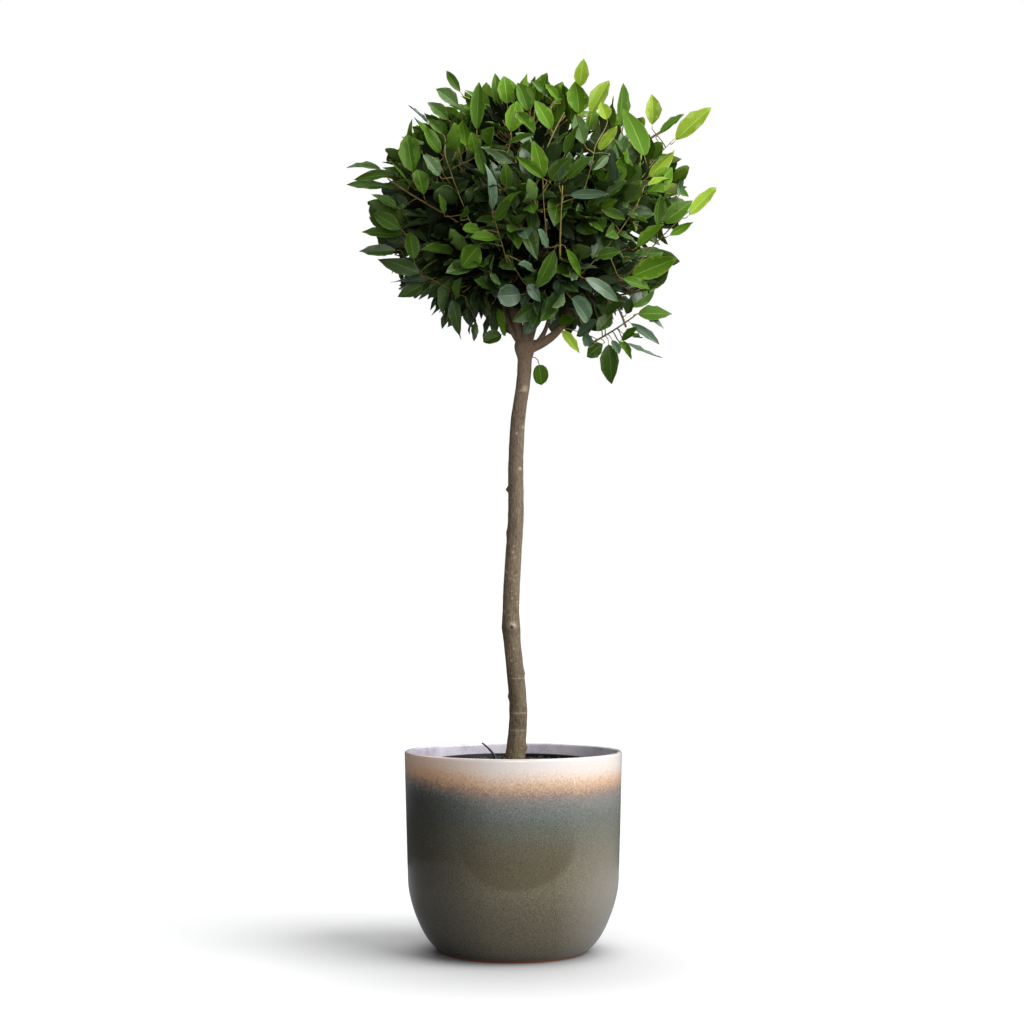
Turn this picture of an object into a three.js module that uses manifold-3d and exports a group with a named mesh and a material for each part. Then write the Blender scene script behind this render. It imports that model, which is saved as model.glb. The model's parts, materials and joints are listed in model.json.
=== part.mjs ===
// A standard bay tree: one bare stem that forks into a ball of leafy shoots, growing in a
// nursery pot that stands inside a glazed planter.
// Lengths are in millimetres and angles in degrees. +Z is up, -Y is the front, and the
// origin is the middle of the planter's flat foot.
import * as THREE from "three";
import { mergeVertices } from "three/addons/utils/BufferGeometryUtils.js";
import Module from "manifold-3d";

const wasm = await Module();
wasm.setup();

// ---- driving dimensions ----------------------------------------------------------------
const GAP = 0.3; // air left between neighbouring pieces
const TRIM = 0.6; // details of a mass's skin smaller than this are smoothed away

const PLANTER = {
  height: 300,
  rimRadius: 163,
  shoulder: { radius: 157.5, height: 92 }, // where the wall starts to turn in
  bevel: { radius: 137.5, height: 40 }, // where the sloping foot band starts
  footRadius: 110,
  footEdge: 2,
  wall: 8,
  floor: 14,
  sides: 36,
};
const NURSERY_POT = {
  height: 273,
  baseRadius: 94,
  rimRadius: 120,
  lip: 12,
  lipDepth: 3.5,
  wall: 2.5,
  sides: 32,
};
const COMPOST = { drop: 5, slack: 0.5 }; // its top lies this far under the nursery pot's rim

const GROUND = PLANTER.floor + NURSERY_POT.height - COMPOST.drop;

// The stem's bends: [height above the compost, sideways, forwards].
const STEM_BENDS = [
  [0, 2, 0],
  [75, 7.5, -2],
  [150, 1.5, -4],
  [205, -3.5, -3],
  [285, -1.5, 2],
  [370, 3.8, 5],
  [455, 3.8, 3],
  [520, 7.5, 0],
  [575, 15.5, -2],
  [640, 18, 0],
];
const STEM = {
  footRadius: 14.2,
  topRadius: 10.4,
  flare: 3.5, // extra radius at the ground
  flareHeight: 14,
  headRadius: 18.5, // the swollen head that the boughs leave from
  headHeight: 628,
  headSpread: 20,
  headRound: 12,
  knots: [
    { height: 199, swell: 1.6, spread: 9 },
    { height: 345, swell: 0.7, spread: 6 },
    { height: 412, swell: 0.9, spread: 6 },
  ],
  sides: 12,
  rings: 28,
};

// The crown is a slightly flat ball of leaf tips round its heart.
const CROWN = {
  heart: new THREE.Vector3(24, 0, 1106),
  halfWidth: 248,
  halfDepth: 246,
  halfHeight: 200,
  ragged: 0.3,
};

// Each mass of foliage lies round one direction from the heart. reach is how far its leading
// leaf comes, and ragged, from 0 to 1, how far its other leaves follow it past the ball.
// Its bough leaves the stem's head, `thick` in radius, or another bough at a share of that
// one's length. It starts off rising at `rise` and arrives rising at `arrive`.
const MASSES = [
  { name: "top", azimuth: -6, elevation: 71, reach: 241, rise: 84, thick: 5.2 },
  { name: "right_middle", azimuth: -2, elevation: 9, reach: 284, rise: 8, arrive: 66, thick: 5.8 },
  { name: "right_upper", azimuth: 2, elevation: 32, reach: 314, from: "right_middle", at: 0.62, rise: 68 },
  { name: "left_middle", azimuth: 178, elevation: 18, reach: 283, rise: 66, arrive: 30, thick: 5.6 },
  { name: "left_upper", azimuth: 178, elevation: 50, reach: 264, from: "left_middle", at: 0.5, rise: 74 },
  { name: "left_lower", azimuth: 186, elevation: -18, reach: 262, ragged: 0.7, rise: 40, thick: 3.4 },
  { name: "right_lower", azimuth: -8, elevation: -50, reach: 288, ragged: 0.6, rise: 4, arrive: -16, thick: 3.2 },
  { name: "front", azimuth: -90, elevation: -5, reach: 246, rise: 52, thick: 4.4 },
  { name: "front_left", azimuth: -137, elevation: 8, reach: 250, rise: 58, thick: 4.6 },
  { name: "front_right", azimuth: -44, elevation: -4, reach: 254, rise: 54, thick: 4.6 },
  { name: "front_upper", azimuth: -88, elevation: 42, reach: 236, from: "top", at: 0.3, rise: 62 },
  { name: "front_lower_left", azimuth: -130, elevation: -46, reach: 226, from: "front_left", at: 0.28, rise: 20 },
  { name: "front_lower_right", azimuth: -62, elevation: -50, reach: 228, from: "front", at: 0.25, rise: 10 },
  { name: "back_left", azimuth: 124, elevation: 3, reach: 254, rise: 56, thick: 4.6 },
  { name: "back_right", azimuth: 62, elevation: 3, reach: 250, rise: 58, thick: 4.6 },
  { name: "back_upper", azimuth: 90, elevation: 43, reach: 238, from: "top", at: 0.42, rise: 60 },
  { name: "back_lower_left", azimuth: 138, elevation: -42, reach: 232, from: "back_left", at: 0.3, rise: 22 },
  { name: "back_lower_right", azimuth: 58, elevation: -42, reach: 236, from: "back_right", at: 0.3, rise: 22 },
];
const BOUGH = {
  entry: 0.36, // where a bough ends and its mass begins, as a share of the reach
  taper: 0.62, // a bough's end radius over its start radius
  fork: 0.76, // a side bough's start radius over its parent's radius there
  rings: 6,
  sides: 5,
};
const TWIG = {
  stemTip: 2, // the end radius of a mass's own stem
  sideTwigs: 9,
  last: 0.8, // where the last side twig leaves the mass's stem, as a share of it
  spread: [78, 38], // degrees between a side twig and the stem, at its foot and its tip
  length: 84,
  radius: 1.7,
  tipRadius: 1.2,
  shortest: 22,
  rings: 1,
  bounds: 0.74, // twigs end at this share of the crown's ball, to leave room for leaves
};
const LEAF = {
  length: 90,
  width: 38,
  fold: 3, // how far the blade's sides stand above its rib
  arch: 3.5,
  spacing: 18,
  spread: 48,
  endCluster: 3,
  sunk: 0.02, // how far past a twig's middle a leaf starts
  neck: 0.16, // the share of a leaf next to its root that may cross its neighbours
  bare: 0.25, // the share of a twig next to its foot that has no leaves
  roll: 75, // how far a blade may turn about its own rib, away from the light
  tries: 7,
};
const GOLDEN_ANGLE = 137.508;
const UP = new THREE.Vector3(0, 0, 1);

// A lone leaf on the stem under its head, and a dry stalk that leans out of the compost.
const LONE_LEAF = { height: 608, azimuth: -12, stalk: 22, length: 30, width: 22 };
const DRY_STALK = {
  radius: 1,
  points: [
    [-26, 60, -3],
    [-28, 62, 9],
    [-37, 74, 19],
    [-51, 92, 27],
  ],
};

// ---- solids ----------------------------------------------------------------------------
const radians = THREE.MathUtils.degToRad;

// A closed geometry as a solid that can be joined and cut.
function solidOf(geometry) {
  const bare = geometry.clone();
  for (const name of Object.keys(bare.attributes)) {
    if (name !== "position") bare.deleteAttribute(name);
  }
  const merged = mergeVertices(bare, 1e-4);
  return new wasm.Manifold(
    new wasm.Mesh({
      numProp: 3,
      vertProperties: merged.attributes.position.array,
      triVerts: new Uint32Array(merged.index.array),
    }),
  );
}

// A solid's largest outer skin: loose scraps go and sealed hollows are filled.
function largestBody(solid) {
  return solid.decompose().reduce((a, b) => (b.volume() > a.volume() ? b : a));
}

// Whether each edge of a solid's skin lies between just two faces, to the nearest 0.002 mm.
function closesCleanly(solid) {
  const { vertProperties, triVerts } = solid.getMesh();
  const cornerAt = (vertex) =>
    Array.from(vertProperties.subarray(3 * vertex, 3 * vertex + 3), (x) => Math.round(500 * x));
  const corners = Array.from(triVerts, (vertex) => cornerAt(vertex).join());
  const facesOnEdge = new Map();
  for (let corner = 0; corner < corners.length; corner++) {
    const next = corner % 3 === 2 ? corner - 2 : corner + 1;
    const edge = [corners[corner], corners[next]].sort().join(" ");
    facesOnEdge.set(edge, (facesOnEdge.get(edge) ?? 0) + 1);
  }
  return [...facesOnEdge.values()].every((faces) => faces === 2);
}

function geometryOf(solid) {
  const { vertProperties, triVerts } = solid.getMesh();
  const geometry = new THREE.BufferGeometry();
  geometry.setAttribute("position", new THREE.BufferAttribute(vertProperties, 3));
  geometry.setIndex(new THREE.BufferAttribute(triVerts, 1));
  const faceted = geometry.toNonIndexed();
  faceted.computeVertexNormals();
  return faceted;
}

// A closed skin over a stack of rings, each a list of points, with a flat cap at both ends.
function skinOver(rings) {
  const sides = rings[0].length;
  const points = rings.flat();
  const faces = [];
  for (let ring = 0; ring + 1 < rings.length; ring++) {
    for (let side = 0; side < sides; side++) {
      const a = ring * sides + side;
      const b = ring * sides + ((side + 1) % sides);
      faces.push(a, b, b + sides, a, b + sides, a + sides);
    }
  }
  const last = (rings.length - 1) * sides;
  for (let side = 1; side + 1 < sides; side++) {
    faces.push(0, side + 1, side, last, last + side, last + side + 1);
  }
  const geometry = new THREE.BufferGeometry().setFromPoints(points);
  geometry.setIndex(faces);
  return geometry;
}

// A tapering limb: a round section carried along a curve. radiusAt takes the share of the way.
function limb(curve, radiusAt, sides, steps) {
  const frames = curve.computeFrenetFrames(steps);
  const rings = [];
  for (let step = 0; step <= steps; step++) {
    const share = step / steps;
    const centre = curve.getPointAt(share);
    const ring = [];
    for (let side = 0; side < sides; side++) {
      const turn = (2 * Math.PI * side) / sides;
      ring.push(
        centre
          .clone()
          .addScaledVector(frames.normals[step], radiusAt(share) * Math.cos(turn))
          .addScaledVector(frames.binormals[step], radiusAt(share) * Math.sin(turn)),
      );
    }
    rings.push(ring);
  }
  return skinOver(rings);
}

// A random stream that always gives the same numbers for the same seed.
function seededRandom(seed) {
  let state = seed >>> 0;
  return () => {
    state = (state + 0x6d2b79f5) >>> 0;
    let mixed = Math.imul(state ^ (state >>> 15), state | 1);
    mixed ^= mixed + Math.imul(mixed ^ (mixed >>> 7), mixed | 61);
    return ((mixed ^ (mixed >>> 14)) >>> 0) / 4294967296;
  };
}

// ---- planter, nursery pot and compost --------------------------------------------------
function planterGeometry() {
  const p = PLANTER;
  const inner = p.rimRadius - p.wall;
  const profile = new THREE.Path();
  profile.moveTo(0, 0);
  profile.lineTo(p.footRadius - p.footEdge, 0);
  profile.lineTo(p.footRadius, p.footEdge);
  profile.lineTo(p.bevel.radius, p.bevel.height);
  profile.quadraticCurveTo(
    p.shoulder.radius - 0.9,
    p.bevel.height + 0.5 * (p.shoulder.height - p.bevel.height),
    p.shoulder.radius,
    p.shoulder.height,
  );
  profile.lineTo(p.rimRadius, p.height - 0.12 * p.height);
  profile.lineTo(p.rimRadius, p.height - 0.5 * p.wall);
  profile.quadraticCurveTo(p.rimRadius, p.height, p.rimRadius - 0.45 * p.wall, p.height);
  profile.quadraticCurveTo(inner, p.height, inner, p.height - 0.6 * p.wall);
  profile.lineTo(p.shoulder.radius - p.wall, p.shoulder.height);
  profile.lineTo(p.bevel.radius - p.wall, p.bevel.height + 0.5 * p.wall);
  profile.lineTo(p.footRadius - 0.5 * p.wall, p.floor);
  profile.lineTo(0, p.floor);
  return turned(profile.getPoints(3), p.sides);
}

// A solid of revolution about the vertical axis.
function turned(profile, sides) {
  return new THREE.LatheGeometry(profile, sides).rotateX(Math.PI / 2);
}

function nurseryPotGeometry() {
  const p = NURSERY_POT;
  const bottom = PLANTER.floor;
  const top = bottom + p.height;
  const profile = [
    [0, bottom],
    [p.baseRadius, bottom],
    [p.rimRadius - p.lipDepth, top - p.lip],
    [p.rimRadius, top - p.lip],
    [p.rimRadius, top],
    [p.rimRadius - p.lipDepth - p.wall, top],
    [p.baseRadius - p.wall, bottom + p.wall],
    [0, bottom + p.wall],
  ];
  return turned(profile.map(([r, z]) => new THREE.Vector2(r, z)), p.sides);
}

function compostGeometry() {
  const p = NURSERY_POT;
  const bottom = PLANTER.floor + p.wall;
  const bottomRadius = p.baseRadius - p.wall - COMPOST.slack;
  const topRadius = p.rimRadius - p.lipDepth - p.wall - COMPOST.slack;
  const rise = (GROUND - bottom) / (p.height - p.wall);
  const profile = [
    [0, bottom],
    [bottomRadius, bottom],
    [bottomRadius + rise * (topRadius - bottomRadius), GROUND],
    [0, GROUND],
  ];
  return turned(profile.map(([r, z]) => new THREE.Vector2(r, z)), p.sides);
}

// ---- stem ------------------------------------------------------------------------------
const stemCurve = new THREE.CatmullRomCurve3(
  STEM_BENDS.map(([height, x, y]) => new THREE.Vector3(x, y, GROUND + height)),
);

// The stem's centre at a height above the compost.
function stemCentre(height) {
  let [low, high] = [0, 1];
  for (let halving = 0; halving < 30; halving++) {
    const middle = (low + high) / 2;
    if (stemCurve.getPoint(middle).z < GROUND + height) low = middle;
    else high = middle;
  }
  return stemCurve.getPoint((low + high) / 2);
}

function bell(distance, spread) {
  return Math.exp(-((distance / spread) ** 2));
}

function stemRadius(height) {
  const s = STEM;
  let radius = THREE.MathUtils.mapLinear(height, 0, s.headHeight, s.footRadius, s.topRadius);
  radius += s.flare * Math.exp(-height / s.flareHeight);
  radius += (s.headRadius - s.topRadius) * bell(Math.min(height - s.headHeight, 0), s.headSpread);
  for (const knot of s.knots) radius += knot.swell * bell(height - knot.height, knot.spread);
  return radius;
}

// Level rings, so that the foot is a flat cut on the compost. The head closes in a low dome.
function stemGeometry(clearance) {
  const s = STEM;
  const rings = [];
  const ringAt = (height, radius) => {
    const centre = stemCentre(height);
    centre.z = GROUND + height;
    const ring = [];
    for (let side = 0; side < s.sides; side++) {
      const turn = (2 * Math.PI * side) / s.sides;
      const out = new THREE.Vector3(Math.cos(turn), Math.sin(turn), 0);
      ring.push(out.multiplyScalar(radius + clearance).add(centre));
    }
    return ring;
  };
  for (let ring = 0; ring <= s.rings; ring++) {
    const height = (s.headHeight * ring) / s.rings;
    rings.push(ringAt(height, stemRadius(height)));
  }
  rings.push(ringAt(s.headHeight + 0.6 * s.headRound, 0.82 * s.headRadius));
  rings.push(ringAt(s.headHeight + s.headRound + clearance, 0.4 * s.headRadius));
  return skinOver(rings);
}

// ---- boughs ----------------------------------------------------------------------------
// The unit vector at an azimuth from +X towards +Y and an elevation above the level.
function heading(azimuth, elevation) {
  const level = Math.cos(radians(elevation));
  return new THREE.Vector3(
    level * Math.cos(radians(azimuth)),
    level * Math.sin(radians(azimuth)),
    Math.sin(radians(elevation)),
  );
}

// Works out each mass's direction, and its bough's curve and radius, in the order listed.
function layOutBoughs() {
  const laid = new Map();
  for (const mass of MASSES) {
    mass.direction = heading(mass.azimuth, mass.elevation);
    const parent = laid.get(mass.from);
    const start = parent
      ? parent.bough.getPointAt(mass.at)
      : stemCentre(STEM.headHeight - 6);
    const end = CROWN.heart.clone().addScaledVector(mass.direction, BOUGH.entry * mass.reach);
    const span = end.distanceTo(start);
    const level = end.clone().sub(start);
    const azimuth = THREE.MathUtils.radToDeg(Math.atan2(level.y, level.x));
    const launch = heading(azimuth, mass.rise);
    const arrival =
      mass.arrive === undefined ? mass.direction : heading(mass.azimuth, mass.arrive);
    mass.bough = new THREE.CubicBezierCurve3(
      start,
      start.clone().addScaledVector(launch, 0.4 * span),
      end.clone().addScaledVector(arrival, -0.33 * span),
      end,
    );
    mass.arrival = arrival;
    mass.thick ??= BOUGH.fork * parent.boughRadius(mass.at);
    mass.boughRadius = (share) => mass.thick * (1 - (1 - BOUGH.taper) * share);
    laid.set(mass.name, mass);
  }
}

function boughSolid(mass, clearance) {
  const radiusAt = (share) => mass.boughRadius(share) + clearance;
  return solidOf(limb(mass.bough, radiusAt, BOUGH.sides, BOUGH.rings));
}

// ---- foliage ---------------------------------------------------------------------------
// How far out a point lies, as a share of the way to the surface of the crown's ball.
function shareOfBall(fromHeart) {
  const { halfWidth, halfDepth, halfHeight } = CROWN;
  return Math.hypot(fromHeart.x / halfWidth, fromHeart.y / halfDepth, fromHeart.z / halfHeight);
}

// Whether points keep to a mass's own space: the cone of directions nearest its own, out to
// `limit`, a share of the way to the ball's surface.
function keepsToSpace(mass, points, limit) {
  return points.every((point) => {
    const out = point.clone().sub(CROWN.heart);
    if (shareOfBall(out) > limit) return false;
    return MASSES.every((other) => {
      if (other === mass) return true;
      const across = mass.direction.clone().sub(other.direction).normalize();
      return across.dot(out) > GAP;
    });
  });
}

// A leaf from its root to its tip along +X, its face up +Z: a folded blade of ten faces.
function leafPoints(length, width) {
  const half = width / 2;
  const { fold, arch } = LEAF;
  return [
    [0, 0, 0],
    [0.34 * length, half, fold + arch],
    [0.34 * length, -half, fold + arch],
    [0.7 * length, 0.8 * half, fold + arch],
    [0.7 * length, -0.8 * half, fold + arch],
    [length, 0, 0],
    [0.52 * length, 0, arch],
  ].map(([x, y, z]) => new THREE.Vector3(x, y, z));
}
const LEAF_FACES = [
  [0, 2, 1],
  [1, 2, 4],
  [1, 4, 3],
  [3, 4, 5],
  [0, 1, 6],
  [1, 3, 6],
  [3, 5, 6],
  [5, 4, 6],
  [4, 2, 6],
  [2, 0, 6],
];

// A leaf's points placed at a root, pointing along `along`, with its face turned to `facing`.
function placedLeaf(root, along, facing, length, width) {
  const across = facing.clone().cross(along).normalize();
  const normal = along.clone().cross(across);
  const place = new THREE.Matrix4().makeBasis(along, across, normal).setPosition(root);
  return leafPoints(length, width).map((point) => point.applyMatrix4(place));
}

function leafSolid(points) {
  const geometry = new THREE.BufferGeometry().setFromPoints(points);
  geometry.setIndex(LEAF_FACES.flat());
  return solidOf(geometry);
}

// A unit vector at an angle from `axis`, turned round it from `side`.
function leaning(axis, side, turn, angle) {
  const across = side.clone().addScaledVector(axis, -side.dot(axis)).normalize();
  across.applyAxisAngle(axis, radians(turn));
  return axis
    .clone()
    .multiplyScalar(Math.cos(radians(angle)))
    .addScaledVector(across, Math.sin(radians(angle)));
}

// Where a leaf turns its face: up and away from the crown's heart.
function lightAt(point) {
  return point.clone().sub(CROWN.heart).normalize().add(UP).normalize();
}

// Puts one leaf on a twig if it keeps to the mass's space, clear of the limbs and of the
// mass's other leaves.
function addLeaf(mass, grown, root, axis, turn, spread, limit) {
  const light = lightAt(root);
  for (let attempt = 0; attempt < LEAF.tries; attempt++) {
    const angle = spread * (1 - 0.08 * attempt);
    const size = (0.86 + 0.26 * grown.random()) * (1 - 0.05 * attempt);
    const along = leaning(axis, light, turn + 80 * attempt, angle);
    const sunk = root.clone().addScaledVector(along, -LEAF.sunk);
    const roll = LEAF.roll * (2 * grown.random() - 1);
    const facing = light.clone().applyAxisAngle(along, radians(roll));
    const points = placedLeaf(sunk, along, facing, size * LEAF.length, size * LEAF.width);
    if (!keepsToSpace(mass, points, limit)) continue;
    const leaf = leafSolid(points);
    if (!leaf.intersect(grown.limbs).isEmpty()) continue;
    points[0].lerp(points[5], LEAF.neck);
    const blade = leafSolid(points);
    if (grown.blades.some((other) => !blade.intersect(other).isEmpty())) continue;
    grown.parts.push(leaf);
    grown.blades.push(blade);
    return;
  }
}

// A cluster of leaves at a twig's end, and then leaves in a spiral back towards its foot.
function leafTwig(mass, grown, twig, lead) {
  let turn = 360 * grown.random();
  for (let leaf = 0; leaf < LEAF.endCluster; leaf++) {
    turn += GOLDEN_ANGLE;
    const root = twig.getPointAt(0.98 - 0.05 * leaf);
    const spread = leaf === 0 ? 4 : 0.7 * LEAF.spread;
    const limit = leaf === 0 ? lead : mass.limit;
    addLeaf(mass, grown, root, twig.getTangentAt(1), turn, spread, limit);
  }
  const count = Math.round(((1 - LEAF.bare) * twig.getLength()) / LEAF.spacing);
  for (let leaf = 0; leaf < count; leaf++) {
    const share = 1 - ((1 - LEAF.bare) * (leaf + 0.7)) / count;
    turn += GOLDEN_ANGLE;
    const root = twig.getPointAt(share);
    addLeaf(mass, grown, root, twig.getTangentAt(share), turn, LEAF.spread, mass.limit);
  }
}

// A twig that leaves `root` along `start` and bends up towards the light.
function twigCurve(root, start, length) {
  const end = root
    .clone()
    .addScaledVector(start, 0.86 * length)
    .addScaledVector(lightAt(root), 0.3 * length);
  const middle = root.clone().addScaledVector(start, 0.5 * length);
  return new THREE.QuadraticBezierCurve3(root, middle, end);
}

// The longest twig from `root` that keeps to the mass's space and clear of the limbs.
function fittedTwig(mass, grown, root, start, length) {
  for (let tried = length; tried >= TWIG.shortest; tried *= 0.82) {
    const curve = twigCurve(root, start, tried);
    if (!keepsToSpace(mass, curve.getPoints(4), TWIG.bounds * mass.limit)) continue;
    const radiusAt = (share) => THREE.MathUtils.lerp(TWIG.radius, TWIG.tipRadius, share);
    const solid = solidOf(limb(curve, radiusAt, 3, TWIG.rings));
    if (solid.intersect(grown.limbs).isEmpty()) return { curve, solid };
  }
  return undefined;
}

// One mass: a stem that carries on from its bough's tip, side twigs round it, and leaves.
function growMass(mass, limbs, seed) {
  const grown = { parts: [], blades: [], limbs, random: seededRandom(seed) };
  const ownShare = mass.reach * shareOfBall(mass.direction);
  mass.limit = THREE.MathUtils.lerp(1, ownShare, mass.ragged ?? CROWN.ragged);
  const start = mass.bough.getPoint(1).addScaledVector(mass.arrival, GAP);
  const tip = CROWN.heart
    .clone()
    .addScaledVector(mass.direction, mass.reach - 0.93 * LEAF.length);
  const span = tip.distanceTo(start);
  const stem = new THREE.QuadraticBezierCurve3(
    start,
    start.clone().addScaledVector(mass.arrival, 0.45 * span),
    tip,
  );
  const footRadius = Math.max(mass.thick * BOUGH.taper, TWIG.stemTip);
  const radiusAt = (share) => THREE.MathUtils.lerp(footRadius, TWIG.stemTip, share);
  grown.parts.push(solidOf(limb(stem, radiusAt, 5, 3)));
  leafTwig(mass, grown, stem, 1.05 * ownShare);
  let turn = 360 * grown.random();
  for (let twig = 0; twig < TWIG.sideTwigs; twig++) {
    const share = (TWIG.last * (twig + 0.4)) / TWIG.sideTwigs;
    turn += GOLDEN_ANGLE;
    const axis = stem.getTangentAt(share);
    const spread = THREE.MathUtils.lerp(...TWIG.spread, share) * (0.85 + 0.3 * grown.random());
    const heads = leaning(axis, UP, turn, spread);
    const length = TWIG.length * (0.75 + 0.35 * grown.random()) * (1 - 0.3 * share);
    const found = fittedTwig(mass, grown, stem.getPointAt(share), heads, length);
    if (!found) continue;
    grown.parts.push(found.solid);
    leafTwig(mass, grown, found.curve, mass.limit);
  }
  return largestBody(wasm.Manifold.union(grown.parts).asOriginal().simplify(TRIM));
}

// The mass grown from the first seed whose skin closes cleanly.
function massSolid(mass, limbs) {
  const first = 1000 * (1 + MASSES.indexOf(mass));
  for (let seed = first; ; seed++) {
    const solid = growMass(mass, limbs, seed);
    if (closesCleanly(solid)) return solid;
  }
}

// ---- lone leaf and dry stalk -----------------------------------------------------------
function loneLeafSolid(stem) {
  const l = LONE_LEAF;
  const out = heading(l.azimuth, 0);
  const root = stemCentre(l.height).addScaledVector(out, stemRadius(l.height) - 2);
  const stalk = new THREE.QuadraticBezierCurve3(
    root,
    root.clone().addScaledVector(out, 0.5 * l.stalk),
    root.clone().addScaledVector(out, 0.55 * l.stalk).addScaledVector(UP, -0.5 * l.stalk),
  );
  const along = stalk.getTangentAt(1).add(new THREE.Vector3(0.1, 0, -0.4)).normalize();
  const facing = new THREE.Vector3(0.1, -1, 0.15).normalize();
  const blade = leafSolid(placedLeaf(stalk.getPointAt(0.92), along, facing, l.length, l.width));
  const whole = solidOf(limb(stalk, () => 0.9, 3, 3)).add(blade);
  return largestBody(whole.subtract(stem));
}

// The stalk is cut level where it meets the compost.
function dryStalkSolid() {
  const points = DRY_STALK.points.map(([x, y, z]) => new THREE.Vector3(x, y, GROUND + z));
  const curve = new THREE.CatmullRomCurve3(points);
  return solidOf(limb(curve, () => DRY_STALK.radius, 5, 6)).trimByPlane([0, 0, 1], GROUND);
}

// ---- assembly --------------------------------------------------------------------------
const MATERIALS = {
  glaze: new THREE.MeshStandardMaterial({ color: 0x6f6f5e, roughness: 0.25 }),
  pot: new THREE.MeshStandardMaterial({ color: 0x111114, roughness: 0.35 }),
  compost: new THREE.MeshStandardMaterial({ color: 0x231b14, roughness: 0.95 }),
  bark: new THREE.MeshStandardMaterial({ color: 0x6e6150, roughness: 0.85 }),
  leaf: new THREE.MeshStandardMaterial({ color: 0x3d6a22, roughness: 0.5 }),
};

const tree = new THREE.Group();

function addNode(name, geometry, material) {
  const mesh = new THREE.Mesh(geometry, material);
  mesh.name = name;
  tree.add(mesh);
}

addNode("planter", planterGeometry(), MATERIALS.glaze);
addNode("nursery_pot", nurseryPotGeometry(), MATERIALS.pot);
addNode("compost", compostGeometry(), MATERIALS.compost);
addNode("stem", stemGeometry(0), MATERIALS.bark);
addNode("dry_stalk", geometryOf(dryStalkSolid()), MATERIALS.bark);

layOutBoughs();
const stemClear = solidOf(stemGeometry(GAP));
addNode("stem_leaf", geometryOf(loneLeafSolid(stemClear)), MATERIALS.leaf);

// Each bough is cut clear of the stem and of the boughs before it.
let limbs = stemClear;
for (const mass of MASSES) {
  const bough = largestBody(boughSolid(mass, 0).subtract(limbs));
  addNode(`bough_${mass.name}`, geometryOf(bough), MATERIALS.bark);
  limbs = limbs.add(boughSolid(mass, GAP));
}
for (const mass of MASSES) {
  addNode(`foliage_${mass.name}`, geometryOf(massSolid(mass, limbs)), MATERIALS.leaf);
}

export default tree;
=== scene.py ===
# %% [markdown]
# # A standard bay tree in a glazed planter
#
# A standard is a shrub trained on one bare stem until it makes a round head of shoots.
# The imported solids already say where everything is: the planter, the nursery pot in it,
# the compost, the stem, its boughs, and eighteen masses of foliage. Here each of them is
# dressed. The pots are turned again with more care, the limbs get bark, and every mass is
# grown once more by the same rule, with finer twigs and leaves of their true size.

# %% Load the frame
import json
import math

import bpy
import numpy as np
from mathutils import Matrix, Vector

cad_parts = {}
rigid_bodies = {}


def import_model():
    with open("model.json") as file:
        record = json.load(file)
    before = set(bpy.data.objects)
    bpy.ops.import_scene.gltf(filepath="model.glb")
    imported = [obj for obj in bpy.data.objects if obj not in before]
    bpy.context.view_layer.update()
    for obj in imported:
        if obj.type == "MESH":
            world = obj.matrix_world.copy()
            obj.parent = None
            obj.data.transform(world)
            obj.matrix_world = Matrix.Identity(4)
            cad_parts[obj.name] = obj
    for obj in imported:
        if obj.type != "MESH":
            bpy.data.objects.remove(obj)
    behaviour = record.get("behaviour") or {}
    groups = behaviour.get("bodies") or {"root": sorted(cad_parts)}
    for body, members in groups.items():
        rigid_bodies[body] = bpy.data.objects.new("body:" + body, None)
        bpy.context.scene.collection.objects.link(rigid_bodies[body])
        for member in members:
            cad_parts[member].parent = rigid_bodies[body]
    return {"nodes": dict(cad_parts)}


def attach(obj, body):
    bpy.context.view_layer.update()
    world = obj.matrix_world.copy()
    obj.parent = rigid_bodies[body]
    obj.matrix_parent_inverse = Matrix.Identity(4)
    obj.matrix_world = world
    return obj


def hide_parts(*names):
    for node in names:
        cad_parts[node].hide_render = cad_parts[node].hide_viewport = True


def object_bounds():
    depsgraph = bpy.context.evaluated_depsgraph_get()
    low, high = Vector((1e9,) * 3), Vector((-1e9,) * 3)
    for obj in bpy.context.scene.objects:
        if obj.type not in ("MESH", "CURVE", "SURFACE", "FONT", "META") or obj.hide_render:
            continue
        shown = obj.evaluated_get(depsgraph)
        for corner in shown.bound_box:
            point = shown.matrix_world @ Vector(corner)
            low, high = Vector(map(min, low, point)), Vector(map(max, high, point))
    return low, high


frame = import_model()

MM = 0.001  # shapes are worked out in millimetres and Blender works in metres
cad_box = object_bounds()
print("nodes in the frame:", len(frame["nodes"]))

# %% [markdown]
# ## From arrays to meshes
#
# A surface here is a grid of points: rows along it and columns around or across it. One
# could push vertices about with bmesh, but a whole array at a time is faster and reads
# like the formula that it is. These helpers turn such grids into faces and meshes.

# %% Grids, tubes and turned shapes
def around(rows, columns):
    """Four-cornered faces of a grid whose last column meets its first."""
    row, column = np.meshgrid(np.arange(rows - 1), np.arange(columns), indexing="ij")
    here = row * columns + column
    beside = row * columns + (column + 1) % columns
    corners = np.stack([here, beside, beside + columns, here + columns], axis=-1)
    return corners.reshape(-1, 4).tolist()


def capped(rows, columns):
    """The faces of a wrapped grid, and one flat face over each open end."""
    last = (rows - 1) * columns
    ends = [list(range(columns))[::-1], list(range(last, last + columns))]
    return around(rows, columns) + ends


def unit(vectors):
    """Each vector divided by its own length."""
    vectors = np.asarray(vectors, float)
    return vectors / np.linalg.norm(vectors, axis=-1, keepdims=True)


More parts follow.
